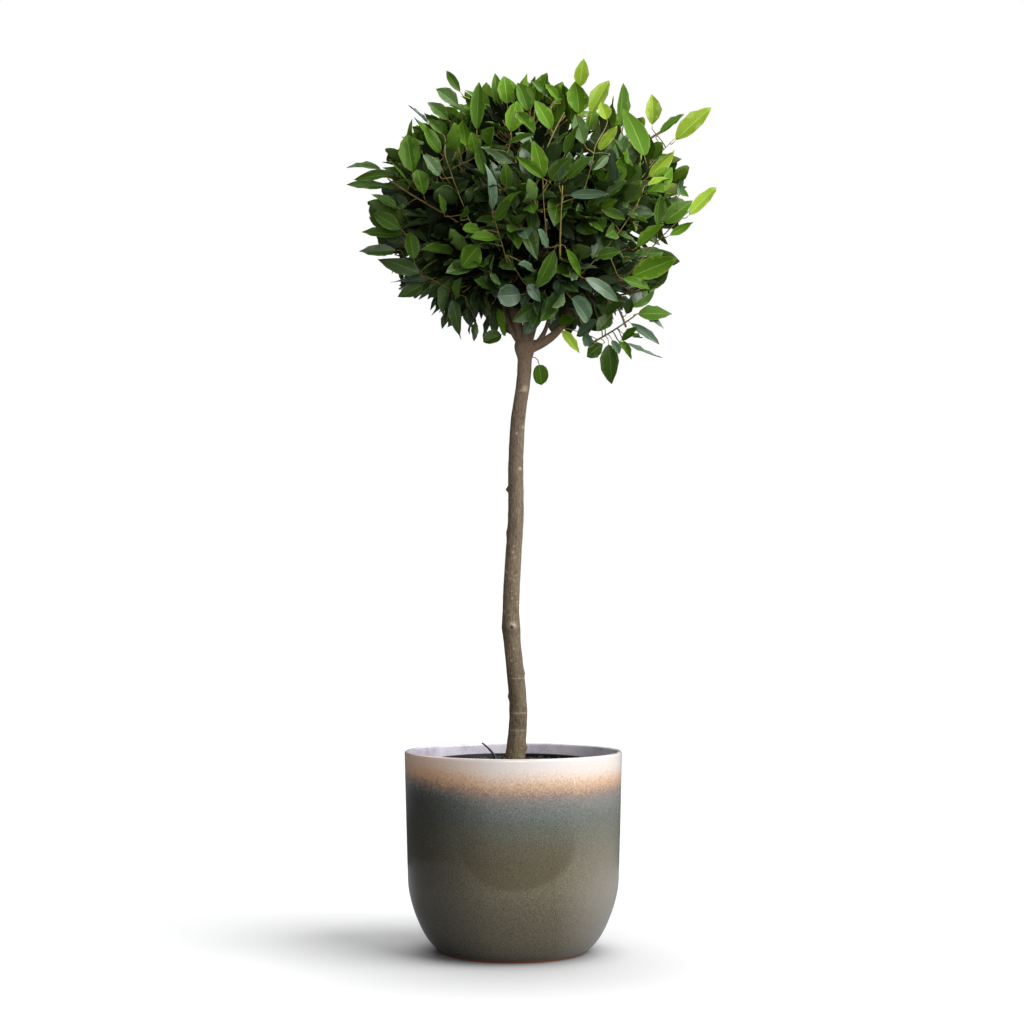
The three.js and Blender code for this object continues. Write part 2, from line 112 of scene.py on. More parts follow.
def tube(path, radii, sides, turn=0.0):
    """Rings of points round a path. Each ring's axes are the last ring's, with the part
    along the path's new direction taken out, so that the tube doesn't twist."""
    path = np.asarray(path, float)
    along = unit(np.gradient(path, axis=0))
    start = np.array([1.0, 0, 0]) if abs(along[0, 0]) < 0.8 else np.array([0, 1.0, 0])
    across = [unit(start - along[0] * (start @ along[0]))]
    for direction in along[1:]:
        across.append(unit(across[-1] - direction * (across[-1] @ direction)))
    across = np.array(across)
    up = np.cross(along, across)
    angles = turn + np.arange(sides) * 2 * np.pi / sides
    circle = np.cos(angles)[None, :, None] * across[:, None]
    circle = circle + np.sin(angles)[None, :, None] * up[:, None]
    radii = np.broadcast_to(np.asarray(radii, float), (len(path),))
    return (path[:, None] + radii[:, None, None] * circle).reshape(-1, 3)


def turned(profile, columns):
    """A profile of radius and height carried round the upright axis."""
    angles = np.arange(columns) * 2 * np.pi / columns
    radius, height = np.asarray(profile, float).T
    x = radius[:, None] * np.cos(angles)
    y = radius[:, None] * np.sin(angles)
    z = np.broadcast_to(height[:, None], x.shape)
    return np.stack([x, y, z], axis=-1).reshape(-1, 3)


def add_mesh(name, points, faces, materials, stands_for=()):
    """A smooth piece in the frame, given in millimetres, that rides on the one body."""
    mesh = bpy.data.meshes.new(name)
    mesh.from_pydata((np.asarray(points) * MM).tolist(), [], faces)
    mesh.polygons.foreach_set("use_smooth", np.ones(len(faces), bool))
    for material in materials:
        mesh.materials.append(material)
    mesh.update()
    piece = bpy.data.objects.new(name, mesh)
    bpy.context.scene.collection.objects.link(piece)
    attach(piece, "root")
    if stands_for:
        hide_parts(*stands_for)
    print(name, len(faces), "faces")
    return piece


def joined(parts):
    """Several (points, faces) pairs as one, with each pair's faces counted on."""
    points, faces, count = [], [], 0
    for part_points, part_faces in parts:
        points.append(part_points)
        faces += [[corner + count for corner in face] for face in part_faces]
        count += len(part_points)
    return np.concatenate(points), faces


# %% [markdown]
# ## Natural unevenness
#
# Nothing that grew or was thrown on a wheel is quite even. Random numbers on a coarse
# lattice, blended smoothly between its points, give hills without edges. Adding the same
# at twice the fineness and half the height, a few times over, gives them texture.

# %% Smooth noise on a wrapped grid
rng = np.random.default_rng(20)


def hills(u, v, across, along, seed):
    """Smooth noise from -1 to 1 at u and v from 0 to 1. It repeats after 1 in u. Between
    lattice values it is blended by the curve 3t^2 - 2t^3 each way."""
    lattice = np.random.default_rng(seed).uniform(-1, 1, (along + 2, across))
    x, y = (u % 1) * across, np.clip(v, 0, 1) * along
    i, j = x.astype(int) % across, y.astype(int)
    fx, fy = x - np.floor(x), y - j
    fx, fy = fx * fx * (3 - 2 * fx), fy * fy * (3 - 2 * fy)
    right = (i + 1) % across
    low = lattice[j, i] * (1 - fx) + lattice[j, right] * fx
    high = lattice[j + 1, i] * (1 - fx) + lattice[j + 1, right] * fx
    return low * (1 - fy) + high * fy


def rough_hills(u, v, across, along, seed, layers=4):
    """Layers of hills, each twice as fine and half as high as the one before."""
    total = 0
    for layer in range(layers):
        total = total + 0.5**layer * hills(u, v, across << layer, along << layer, seed + layer)
    return total / 1.9


# %% [markdown]
# ## Materials: the shared effects
#
# Blender's noise node gives even speckle. Real glaze, bark and soil vary at more than one
# size, so one small node group makes a two-scale mask, and each material places it with
# its own numbers. It reads Object coordinates, which stay put on the piece.

# %% Node helpers
def srgb(red, green, blue):
    """A screen colour from 0 to 255 as the linear colour that shaders use."""
    share = np.array([red, green, blue]) / 255
    linear = np.where(share <= 0.04045, share / 12.92, ((share + 0.055) / 1.055) ** 2.4)
    return (*linear.tolist(), 1.0)


def feed(tree, node, inputs):
    """Links a node's inputs to sockets, or sets them to values."""
    for key, value in inputs.items():
        if isinstance(value, bpy.types.NodeSocket):
            tree.links.new(value, node.inputs[key])
        else:
            node.inputs[key].default_value = value


def add_node(tree, kind, inputs=None, **settings):
    """A node with its settings, and its inputs fed."""
    node = tree.nodes.new("ShaderNode" + kind)
    for name, value in settings.items():
        setattr(node, name, value)
    feed(tree, node, inputs or {})
    return node


# %% Places and arithmetic
def own_place(tree):
    """A piece's own coordinates in metres."""
    return add_node(tree, "TexCoord").outputs["Object"]


def along_axis(tree, place, axis):
    """One coordinate of a place."""
    return add_node(tree, "SeparateXYZ", {0: place}).outputs[axis]


def maths(tree, operation, *values):
    """A Math node over sockets and numbers, and its result."""
    return add_node(tree, "Math", dict(enumerate(values)), operation=operation).outputs[0]


def times(tree, first, second):
    """Two values multiplied."""
    return maths(tree, "MULTIPLY", first, second)


def scaled(tree, value, factor, added):
    """A value multiplied by a factor, with another value added."""
    return maths(tree, "MULTIPLY_ADD", value, factor, added)


def held(tree, value):
    """A value held between 0 and 1."""
    return add_node(tree, "Clamp", {0: value}).outputs[0]


def mapped(tree, value, start, end, low, high):
    """A value carried in a straight line from low at start to high at end, held beyond."""
    return add_node(tree, "MapRange", dict(enumerate((value, start, end, low, high)))).outputs[0]


def blend_colours(tree, share, first, second):
    """The colour that lies a share of the way from the first to the second."""
    node = add_node(tree, "Mix", {0: share, 6: first, 7: second}, data_type="RGBA")
    return node.outputs[2]


def new_group(name, inputs, outputs):
    """An empty node group with named sockets, and its input and output nodes."""
    tree = bpy.data.node_groups.new(name, "ShaderNodeTree")
    for label, kind, value in inputs:
        socket = tree.interface.new_socket(label, in_out="INPUT", socket_type=kind)
        socket.default_value = value
    for label, kind in outputs:
        tree.interface.new_socket(label, in_out="OUTPUT", socket_type=kind)
    return tree, tree.nodes.new("NodeGroupInput"), tree.nodes.new("NodeGroupOutput")


# %% The two-scale mottle
mottle, given, result = new_group(
    "mottle",
    [
        ("Vector", "NodeSocketVector", (0, 0, 0)),
        ("Coarse", "NodeSocketFloat", 30.0),
        ("Fine", "NodeSocketFloat", 300.0),
        ("Fine share", "NodeSocketFloat", 0.4),
    ],
    [("Mask", "NodeSocketFloat"), ("Fine mask", "NodeSocketFloat")],
)
place = given.outputs["Vector"]
broad, close = (
    add_node(
        mottle, "TexNoise", {"Vector": place, "Scale": given.outputs[size], "Detail": detail}
    ).outputs[0]
    for size, detail in (("Coarse", 4), ("Fine", 3))
)
both = add_node(mottle, "Mix", {0: given.outputs["Fine share"], 2: broad, 3: close})
feed(mottle, result, {"Mask": both.outputs[0], "Fine mask": close})


def mottled(tree, coarse, fine, fine_share, stretch=(1, 1, 1)):
    """The mottle group placed on a piece's own coordinates, stretched along an axis."""
    place = add_node(tree, "Mapping", {"Vector": own_place(tree), "Scale": stretch})
    sizes = {"Coarse": coarse, "Fine": fine, "Fine share": fine_share}
    return add_node(tree, "Group", {"Vector": place.outputs[0], **sizes}, node_tree=mottle)


def new_material(name):
    """A material, its node tree and its Principled shader."""
    material = bpy.data.materials.new(name)
    material.use_nodes = True
    tree = material.node_tree
    return material, tree, tree.nodes["Principled BSDF"]


def ramp(tree, share, stops):
    """A colour ramp through stops, each a position and a linear colour."""
    node = add_node(tree, "ValToRGB", {0: share})
    elements = node.color_ramp.elements
    elements[0].position, elements[0].color = stops[0]
    elements[1].position, elements[1].color = stops[-1]
    for position, colour in stops[1:-1]:
        elements.new(position).color = colour
    return node.outputs[0]


def tones(tree, share, *stops):
    """A ramp through stops, each a position and a screen colour's red, green and blue."""
    return ramp(tree, share, [(position, srgb(*colour)) for position, *colour in stops])


def greys(tree, share, stops):
    """A ramp through stops, each a position and how light the grey is there."""
    return ramp(tree, share, [(position, (grey, grey, grey, 1)) for position, grey in stops])


def bump(tree, shader, height, distance):
    """Small relief from a height in shares of a distance in metres."""
    node = add_node(tree, "Bump", {"Height": height, "Distance": distance})
    feed(tree, shader, {"Normal": node.outputs[0]})


# %% [markdown]
# ## The planter
#
# A thrown stoneware pot: a flat foot, a band that slopes out, a soft shoulder and a wall
# that opens slightly to a rounded lip. It is one profile turned round the axis. A lathe
# gives perfect circles, so a slow noise moves the wall by half a millimetre, and the glaze
# catches the light as unevenly as the real one.

# %% The planter's profile and wall
RIM_HEIGHT = 300
RIM_RADIUS = 163
SHOULDER_RADIUS, SHOULDER_HEIGHT = 157.5, 92
BEVEL_RADIUS, BEVEL_HEIGHT = 137.5, 40
FOOT_RADIUS, FOOT_EDGE = 110, 2
PLANTER_WALL = 8
PLANTER_FLOOR = 14


def stretch_between(start, end, count):
    """Evenly spaced points from start up to, but without, end."""
    share = np.linspace(0, 1, count, endpoint=False)[:, None]
    return np.asarray(start) * (1 - share) + np.asarray(end) * share


def bend(start, corner, end, count):
    """A quadratic curve: start and end pull with (1-t)^2 and t^2, the corner with 2t(1-t)."""
    t = np.linspace(0, 1, count, endpoint=False)[:, None]
    pull = 2 * t * (1 - t)
    return (1 - t) ** 2 * np.array(start) + pull * np.array(corner) + t**2 * np.array(end)


inner_radius = RIM_RADIUS - PLANTER_WALL
lip_start = (RIM_RADIUS, RIM_HEIGHT - 0.5 * PLANTER_WALL)
lip_top = (RIM_RADIUS - 0.45 * PLANTER_WALL, RIM_HEIGHT)
lip_end = (inner_radius, RIM_HEIGHT - 0.6 * PLANTER_WALL)
# The two corners lie on one line through the bevel, so that the curve has no kink there,
# and the upper one lies on the line of the wall.
foot_side = (FOOT_RADIUS, FOOT_EDGE)
bevel = (BEVEL_RADIUS + 2.2, BEVEL_HEIGHT)
foot_corner = (BEVEL_RADIUS - 10.4, BEVEL_HEIGHT - 27.4)
shoulder_corner = (BEVEL_RADIUS + 19.7, BEVEL_HEIGHT + 38)
shoulder = (SHOULDER_RADIUS + 0.4, SHOULDER_HEIGHT + 16)
inner_shoulder = (SHOULDER_RADIUS - PLANTER_WALL, SHOULDER_HEIGHT)
inner_bevel = (BEVEL_RADIUS - PLANTER_WALL, BEVEL_HEIGHT + 0.5 * PLANTER_WALL)
inner_foot = (FOOT_RADIUS - 0.5 * PLANTER_WALL, PLANTER_FLOOR)
outside = np.concatenate(
    [
        stretch_between((FOOT_RADIUS - FOOT_EDGE, 0), foot_side, 3),
        bend(foot_side, foot_corner, bevel, 14),
        bend(bevel, shoulder_corner, shoulder, 18),
        stretch_between(shoulder, lip_start, 60),
        bend(lip_start, (RIM_RADIUS, RIM_HEIGHT), lip_top, 8),
    ]
)
inside = np.concatenate(
    [
        bend(lip_top, (inner_radius, RIM_HEIGHT), lip_end, 8),
        stretch_between(lip_end, inner_shoulder, 30),
        stretch_between(inner_shoulder, inner_bevel, 8),
        stretch_between(inner_bevel, inner_foot, 6),
        [inner_foot],
    ]
)
profile = np.concatenate([outside, inside])
PLANTER_COLUMNS = 256
planter_points = turned(profile, PLANTER_COLUMNS)

turn_share = np.tile(np.arange(PLANTER_COLUMNS) / PLANTER_COLUMNS, len(profile))
height_share = np.clip(planter_points[:, 2] / RIM_HEIGHT, 0, 1)
wobble = 0.5 * rough_hills(turn_share, height_share, 7, 5, seed=3)
wobble *= np.clip(height_share * 6, 0, 1)  # the foot stays flat and round
radius = np.hypot(planter_points[:, 0], planter_points[:, 1])
planter_points[:, :2] *= (1 + wobble / radius)[:, None]

# %% [markdown]
# The glaze is the pot's face. Cream from the rim breaks over tan speckle into blue-grey,
# then green, then olive, where two glazes ran together in the kiln. An image would be one
# way; a ramp over the height is closer to what happens, as each colour belongs to one
# thickness of glaze. Noise lifts and drops the height before the ramp reads it, so that
# the bands wander and their edges break into grains.

# %% The glazes
LEFT_BANDS_AND_SHADE = (-0.03, -0.155)  # metres across, from where it starts to where it is full
LIT_RIGHT_SIDE = (0.06, 0.155)
REFLECTION_MIDDLE = (0.005, 0.178)  # metres across and up
REFLECTION_REACH = (0.083, 0.066)
GLOSSY_COAT = {"Coat Weight": 0.4, "Coat Roughness": 0.06}

glaze, tree, shader = new_material("reactive_glaze")
place = own_place(tree)
across, depth, upward = (along_axis(tree, place, axis) for axis in "XYZ")
drift = mottled(tree, 9.0, 60.0, 0.35).outputs["Mask"]
grain = mottled(tree, 230.0, 520.0, 0.5)
# The height in shares of the rim's, moved up or down by the two masks.
height = maths(tree, "DIVIDE", upward, RIM_HEIGHT * MM)
loosened = scaled(tree, drift, 0.06, height)
loosened = scaled(tree, grain.outputs["Mask"], 0.13, loosened)
# On the left the bands lie higher, and the same mask paints shade on the body there.
left_bands_and_shade = mapped(tree, across, *LEFT_BANDS_AND_SHADE, 0.0, 1.0)
loosened = maths(tree, "SUBTRACT", loosened, scaled(tree, left_bands_and_shade, 0.062, 0.095))
bands = tones(
    tree,
    loosened,
    (0.0, 80, 75, 58),
    (0.12, 84, 78, 61),
    (0.28, 86, 80, 62),
    (0.48, 90, 85, 64),
    (0.62, 90, 92, 80),
    (0.70, 86, 95, 90),
    (0.755, 100, 108, 107),
    (0.795, 120, 118, 117),
    (0.825, 149, 129, 119),
    (0.85, 188, 155, 130),
    (0.88, 211, 178, 150),
    (0.91, 222, 202, 186),
    (0.945, 224, 213, 206),
    (0.985, 220, 214, 211),
)
# Light and dark grains lie all through the glaze, but faintly in the cream.
contrast = held(tree, scaled(tree, grain.outputs["Fine mask"], 2.2, -0.6))
shaded = blend_colours(tree, 0.33, bands, srgb(34, 30, 20))
lightened = blend_colours(tree, 0.10, bands, srgb(224, 214, 190))
speckled = blend_colours(tree, contrast, shaded, lightened)
calm = mapped(tree, loosened, 0.82, 0.93, 0.0, 0.75)
speckled = blend_colours(tree, calm, speckled, bands)
# On the left side the cream is tanned.
cream = maths(tree, "SUBTRACT", 1.0, mapped(tree, loosened, 0.84, 0.78, 0.0, 1.0))
tanned = times(tree, times(tree, left_bands_and_shade, cream), 0.45)
speckled = blend_colours(tree, tanned, speckled, srgb(226, 168, 118))
# Below the bands, painted shade darkens the body on the left side.
body = mapped(tree, loosened, 0.86, 0.76, 0.0, 1.0)
painted_shade_left = times(tree, times(tree, body, left_bands_and_shade), 0.88)
speckled = blend_colours(tree, painted_shade_left, speckled, srgb(22, 20, 9))
# A painted pale sheen lightens the body on the right side, most low down.
lit_right = mapped(tree, across, *LIT_RIGHT_SIDE, 0.0, 1.0)
low = mapped(tree, height, 0.66, 0.28, 0.12, 0.42)
painted_sheen_right = times(tree, times(tree, body, lit_right), low)
speckled = blend_colours(tree, painted_sheen_right, speckled, srgb(172, 168, 164))
# A browner patch with a curved edge on the front is a painted reflection of the dark room.
reflection_x = maths(tree, "DIVIDE", maths(tree, "SUBTRACT", across, REFLECTION_MIDDLE[0]), REFLECTION_REACH[0])
reflection_z = maths(tree, "DIVIDE", maths(tree, "SUBTRACT", upward, REFLECTION_MIDDLE[1]), REFLECTION_REACH[1])
reflection_far = maths(tree, "ADD", times(tree, reflection_x, reflection_x), times(tree, reflection_z, reflection_z))
reflection_far = scaled(tree, drift, 0.16, maths(tree, "SQRT", reflection_far))
painted_reflection = mapped(tree, reflection_far, 1.14, 1.04, 0.0, 1.0)
painted_reflection = times(tree, painted_reflection, mapped(tree, upward, 0.215, 0.150, 0.0, 0.42))
front = maths(tree, "LESS_THAN", depth, 0.0)
speckled = blend_colours(tree, times(tree, painted_reflection, front), speckled, srgb(66, 54, 32))
# On the lip's edge the glaze runs thin and breaks to brown.
thin = held(tree, scaled(tree, height, 130.0, -128.7))
edged = blend_colours(tree, times(tree, thin, 0.5), speckled, srgb(150, 122, 104))
# The last millimetres at the foot have no glaze and show the red clay.
bare = held(tree, scaled(tree, height, -160.0, 2.6))
clay = blend_colours(tree, bare, edged, srgb(150, 82, 52))
polish = scaled(tree, grain.outputs["Mask"], 0.2, 0.14)
dull = scaled(tree, bare, 0.5, polish)
feed(tree, shader, {"Base Color": clay, "Roughness": dull, **GLOSSY_COAT})
bump(tree, shader, grain.outputs["Mask"], 0.0003)

inner_glaze, tree, shader = new_material("inner_glaze")
milk = mottled(tree, 22.0, 500.0, 0.35).outputs["Mask"]
milky = tones(tree, milk, (0.35, 150, 143, 156), (0.5, 186, 181, 190), (0.68, 214, 209, 213))
gloss = scaled(tree, milk, 0.2, 0.12)
feed(tree, shader, {"Base Color": milky, "Roughness": gloss, **GLOSSY_COAT})
bump(tree, shader, milk, 0.0006)

planter_faces = capped(len(profile), PLANTER_COLUMNS)
planter = add_mesh(
    "glazed_planter", planter_points, planter_faces, [glaze, inner_glaze], ["planter"]
)
lip_row = len(outside) - 2
kinds = np.repeat(np.arange(len(profile) - 1) >= lip_row, PLANTER_COLUMNS).astype(int)
kinds = np.concatenate([kinds, [0, 1]])
planter.data.polygons.foreach_set("material_index", kinds)

# %% [markdown]
# ## The nursery pot and the compost
#
# The tree still stands in the thin black pot it was grown in, whose lip shows just under
# the planter's. The compost is fibre and bark crumbs: a disc whose height is rough noise,
# strewn with chips. The chips are one joined mesh, because loose particles would be lost
# when the model is exported.

# %% The nursery pot
POT_HEIGHT = 273
POT_BASE_RADIUS = 94
POT_RIM_RADIUS = 120
POT_LIP, POT_LIP_DEPTH = 12, 3.5
POT_WALL = 2.5
pot_top = PLANTER_FLOOR + POT_HEIGHT
under_lip = POT_RIM_RADIUS - POT_LIP_DEPTH
pot_foot = (POT_BASE_RADIUS, PLANTER_FLOOR + 3)
lip_root = (under_lip, pot_top - POT_LIP)
lip_side = (POT_RIM_RADIUS, pot_top - 1.2)
lip_face = (POT_RIM_RADIUS - 1.2, pot_top)
pot_inside = (POT_BASE_RADIUS - POT_WALL, PLANTER_FLOOR + POT_WALL)
pot_profile = np.concatenate(
    [
        stretch_between((POT_BASE_RADIUS - 3, PLANTER_FLOOR), pot_foot, 3),
        stretch_between(pot_foot, lip_root, 12),
        stretch_between(lip_root, (POT_RIM_RADIUS - 0.4, pot_top - POT_LIP), 3),
        stretch_between((POT_RIM_RADIUS, pot_top - POT_LIP + 0.6), lip_side, 4),
        bend(lip_side, (POT_RIM_RADIUS, pot_top), lip_face, 4),
        stretch_between(lip_face, (under_lip - POT_WALL + 1, pot_top), 3),
        stretch_between((under_lip - POT_WALL, pot_top - 1), pot_inside, 14),
        [(POT_BASE_RADIUS - POT_WALL - 1, PLANTER_FLOOR + POT_WALL)],
    ]
)
POT_COLUMNS = 128
black_plastic, tree, shader = new_material("black_plastic")
scuff = mottled(tree, 60.0, 600.0, 0.5)
wear_and_painted_shade = tones(tree, scuff.outputs["Mask"], (0.35, 5, 5, 6), (0.75, 14, 13, 14))
satin = scaled(tree, scuff.outputs["Mask"], 0.4, 0.3)
feed(tree, shader, {"Base Color": wear_and_painted_shade, "Roughness": satin, "Specular IOR Level": 0.14})
bump(tree, shader, scuff.outputs["Fine mask"], 0.0002)
add_mesh(
    "black_nursery_pot",
    turned(pot_profile, POT_COLUMNS),
    capped(len(pot_profile), POT_COLUMNS),
    [black_plastic],
    ["nursery_pot"],
)

# %% The compost and its crumbs
GROUND = pot_top - 5
COMPOST_SLACK = 0.5
compost_top = under_lip - POT_WALL - COMPOST_SLACK - 0.4
compost_base = POT_BASE_RADIUS - POT_WALL - COMPOST_SLACK
compost_floor = PLANTER_FLOOR + POT_WALL
SOIL_COLUMNS = 160
soil_profile = np.concatenate(
    [
        [(compost_base - 2, compost_floor)],
        stretch_between((compost_base, compost_floor + 1), (compost_top, GROUND - 1.5), 6),
        stretch_between((compost_top, GROUND - 1.5), (1.5, GROUND), 56),
        [(1.5, GROUND)],
    ]
)
soil_points = turned(soil_profile, SOIL_COLUMNS)
# Noise is read by place, so that the disc's middle isn't pinched into rays.
east = soil_points[:, 0] / (2 * POT_RIM_RADIUS) + 0.5
north = soil_points[:, 1] / (2 * POT_RIM_RADIUS) + 0.5
lumps = 1.6 * rough_hills(east, north, 17, 17, seed=40)
on_top = soil_points[:, 2] > GROUND - 1
soil_points[on_top, 2] += lumps[on_top] - 0.8

compost_earth, tree, shader = new_material("compost_earth")
clods = mottled(tree, 130.0, 900.0, 0.55).outputs["Mask"]
earth = tones(
    tree, clods, (0.36, 9, 7, 6), (0.5, 24, 18, 14), (0.62, 46, 35, 27), (0.72, 70, 56, 44)
)
feed(tree, shader, {"Base Color": earth, "Roughness": 0.95})
bump(tree, shader, clods, 0.003)
add_mesh(
    "compost_bed",
    soil_points,
    capped(len(soil_profile), SOIL_COLUMNS),
    [compost_earth],
    ["compost"],
)

CRUMBS = 420
CRUMB_CORNERS = unit([(1, 0, 0), (0, 1, 0), (-1, 0, 0), (0, -1, 0), (0, 0, 1), (0, 0, -1)])
CRUMB_FACES = [[i, (i + 1) % 4, 4] for i in range(4)] + [[(i + 1) % 4, i, 5] for i in range(4)]


def turned_at_random(count, generator):
    """Random rotations: two random directions made square to each other, and their cross."""
    first = unit(generator.normal(size=(count, 3)))
    second = generator.normal(size=(count, 3))
    second = unit(second - first * np.sum(first * second, axis=1, keepdims=True))
    return np.stack([first, second, np.cross(first, second)], axis=1)


def strewn(count, corners, faces, sizes, centres, generator):
    """Copies of a small solid, each stretched to its own sizes, turned and moved."""
    shaped = corners[None] * sizes[:, None]
    points = np.einsum("nij,njk->nik", shaped, turned_at_random(count, generator))
    points = (points + centres[:, None]).reshape(-1, 3)
    first = np.arange(count)[:, None, None] * len(corners)
    return points, (np.asarray(faces)[None] + first).reshape(-1, len(faces[0])).tolist()


crumb_radius = 22 + (compost_top - 26) * np.sqrt(rng.uniform(0, 1, CRUMBS))
crumb_turn = rng.uniform(0, 2 * np.pi, CRUMBS)
crumb_sizes = rng.uniform(0.8, 3.4, (CRUMBS, 1))
crumb_sizes = crumb_sizes * rng.uniform([0.8, 0.5, 0.3], [1.6, 1.0, 0.7], (CRUMBS, 3))
crumb_centres = np.stack(
    [
        crumb_radius * np.cos(crumb_turn),
        crumb_radius * np.sin(crumb_turn),
        GROUND + rng.uniform(-0.6, 1.2, CRUMBS),
    ],
    axis=1,
)
crumb_points, crumb_faces = strewn(
    CRUMBS, CRUMB_CORNERS, CRUMB_FACES, crumb_sizes, crumb_centres, rng
)
bark_chip, tree, shader = new_material("bark_chip")
chip_tone = mottled(tree, 90.0, 800.0, 0.4)
chips = tones(
    tree, chip_tone.outputs["Mask"], (0.38, 20, 15, 11), (0.5, 48, 36, 26), (0.66, 86, 68, 52)
)
feed(tree, shader, {"Base Color": chips, "Roughness": 0.9})
bump(tree, shader, chip_tone.outputs["Fine mask"], 0.0008)
crumbs = add_mesh("compost_crumbs", crumb_points, crumb_faces, [bark_chip])
crumbs.data.polygons.foreach_set("use_smooth", np.zeros(len(crumb_faces), bool))

# %% [markdown]
# ## The stem
#
# A bay's stem is trained up a cane, and it keeps small kinks where side shoots were taken
# off. The imported stem is a stack of level rings, so its middle line and its thickness are
# read from there, ring by ring. Round that line goes a much finer skin: fine upright
# streaks, flat scars, a few buds, and one old pruning wound whose hole has painted shade.

# %% The stem's line and thickness, from the frame
stem_points = np.array([vertex.co for vertex in frame["nodes"]["stem"].data.vertices]) / MM
levels = np.unique(np.round(stem_points[:, 2], 2))
ring_centres, ring_radii = [], []
for level in levels:
    ring = stem_points[np.abs(stem_points[:, 2] - level) < 0.02]
    centre = (ring[:, :2].min(axis=0) + ring[:, :2].max(axis=0)) / 2
    ring_centres.append((*centre, level))
    ring_radii.append(np.hypot(*(ring[:, :2] - centre).T).max())
ring_centres, ring_radii = np.array(ring_centres), np.array(ring_radii)
HEAD_HEIGHT = levels[-3] - GROUND  # the last two rings close its round top
print("stem: rings", len(levels), "head at", round(HEAD_HEIGHT), "mm above the compost")


def stem_centre(height):
    """The middle of the stem at heights above the compost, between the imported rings."""
    height = np.atleast_1d(np.asarray(height, float))
    x = np.interp(height + GROUND, levels, ring_centres[:, 0])
    y = np.interp(height + GROUND, levels, ring_centres[:, 1])
    return np.stack([x, y, height + GROUND], axis=-1)


# Marks on the skin: height above the compost, turn in degrees (-90 is the front), how
# far it stands out, its reach along the stem, and its reach around it in radians.
STEM_MARKS = [
    (203, -84, 2.6, 7.0, 0.42),  # the collar of the old wound
    (219, -95, 1.4, 4.0, 0.26),
    (410, 176, 4.0, 3.6, 0.24),  # a bud
    (345, 176, 1.2, 6.0, 0.40),
    (314, -112, 0.8, 3.0, 0.25),
    (99, 178, 1.8, 4.0, 0.35),
    (135, 2, 1.4, 4.0, 0.30),
    (23, -12, 3.2, 5.0, 0.42),  # a knob by the ground
    (44, -120, 0.9, 7.0, 0.5),
    (452, -30, 0.9, 3.5, 0.4),
    (502, -42, 1.0, 4.0, 0.3),
    (493, -96, 0.8, 2.6, 0.25),
    (440, -58, 0.9, 3.0, 0.3),
    (560, -72, 0.5, 5.0, 0.4),
    (634, -62, 1.5, 7.0, 0.45),  # swellings and a crease under the fork
    (648, -120, 1.7, 8.0, 0.4),
    (641, -92, -1.1, 9.0, 0.22),
    (618, -140, 1.0, 6.0, 0.35),
    (626, 150, 1.4, 7.0, 0.45),
    (640, 30, 1.6, 8.0, 0.5),
]
STEM_HOLES = [
    (203, -88, 2.6, 3.0, 0.16),
    (409, -176, 0.8, 1.4, 0.10),
    (219, -95, 0.7, 1.6, 0.12),
]
# Pale corky scars: the same, with how pale each is in place of how far it stands out.
STEM_SCARS = [
    (560, -72, 0.9, 4.2, 0.42),
    (557, -84, 0.6, 1.5, 0.6),
    (502, -42, 0.8, 3.0, 0.22),
    (493, -96, 0.7, 2.0, 0.22),
    (440, -58, 0.9, 2.6, 0.24),
    (206, -78, 0.6, 5.0, 0.40),
    (75, -90, 0.45, 0.9, 1.5),
    (49, -90, 0.4, 0.8, 1.5),
    (127, -70, 0.4, 0.8, 1.1),
]
FLECKS = 26  # small pale pores, most of them halfway down the front
fleck_rng = np.random.default_rng(11)
for fleck in range(FLECKS):
    fleck_height, fleck_turn = fleck_rng.normal(255, 55), fleck_rng.uniform(-160, -20)
    STEM_SCARS.append((fleck_height, fleck_turn, fleck_rng.uniform(0.3, 0.8), 1.3, 0.10))
STEM_COLUMNS = 72
STEM_ROWS = 520
NECK = 604  # the slimmest place under the fork
HEAD_START = 614


def marks_at(height, turn, marks):
    """The summed swellings at heights and turns: bells in both directions."""
    total = np.zeros_like(height)
    for mark_height, mark_turn, rise, tall, wide in marks:
        gap = (turn - math.radians(mark_turn) + np.pi) % (2 * np.pi) - np.pi
        total += rise * np.exp(-(((height - mark_height) / tall) ** 2) - (gap / wide) ** 2)
    return total


row_height = np.linspace(0, HEAD_HEIGHT, STEM_ROWS)
column_turn = np.arange(STEM_COLUMNS) * 2 * np.pi / STEM_COLUMNS
height, turn = np.meshgrid(row_height, column_turn, indexing="ij")
skin = np.interp(height + GROUND, levels, ring_radii) - 0.25
u, v = turn / (2 * np.pi), height / HEAD_HEIGHT
skin += 0.45 * rough_hills(u, v, 5, 40, seed=60)  # slow unevenness
skin += 0.16 * rough_hills(u, v, 30, 45, seed=70, layers=3)  # upright streaks
holes = marks_at(height, turn, STEM_HOLES)
skin += marks_at(height, turn, STEM_MARKS) - holes
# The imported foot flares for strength. The bark goes in straight, and the neck is slim.
skin -= 2.6 * np.exp(-height / 12)
skin -= 1.6 * np.exp(-(((height - NECK) / 14) ** 2))
# At the head the skin draws in, so that the boughs' collars make its shape.
skin -= 3.0 * np.clip((height - HEAD_START) / (HEAD_HEIGHT - HEAD_START), 0, 1) ** 2
centres = stem_centre(row_height)
ring = np.stack([np.cos(turn), np.sin(turn), np.zeros_like(turn)], axis=-1)
stem_skin = (centres[:, None] + skin[..., None] * ring).reshape(-1, 3)
# The head closes in a low dome: four rings that draw in above the last one.
top_centre = stem_centre(HEAD_HEIGHT)[0]
dome = []
for share in (0.25, 0.5, 0.75, 0.92):
    lift = (levels[-1] - levels[-3]) * math.sin(share * math.pi / 2)
    inward = math.cos(share * math.pi / 2)
    dome.append(top_centre + np.array([0, 0, lift]) + inward * skin[-1][:, None] * ring[-1])
stem_skin = np.concatenate([stem_skin, *dome])

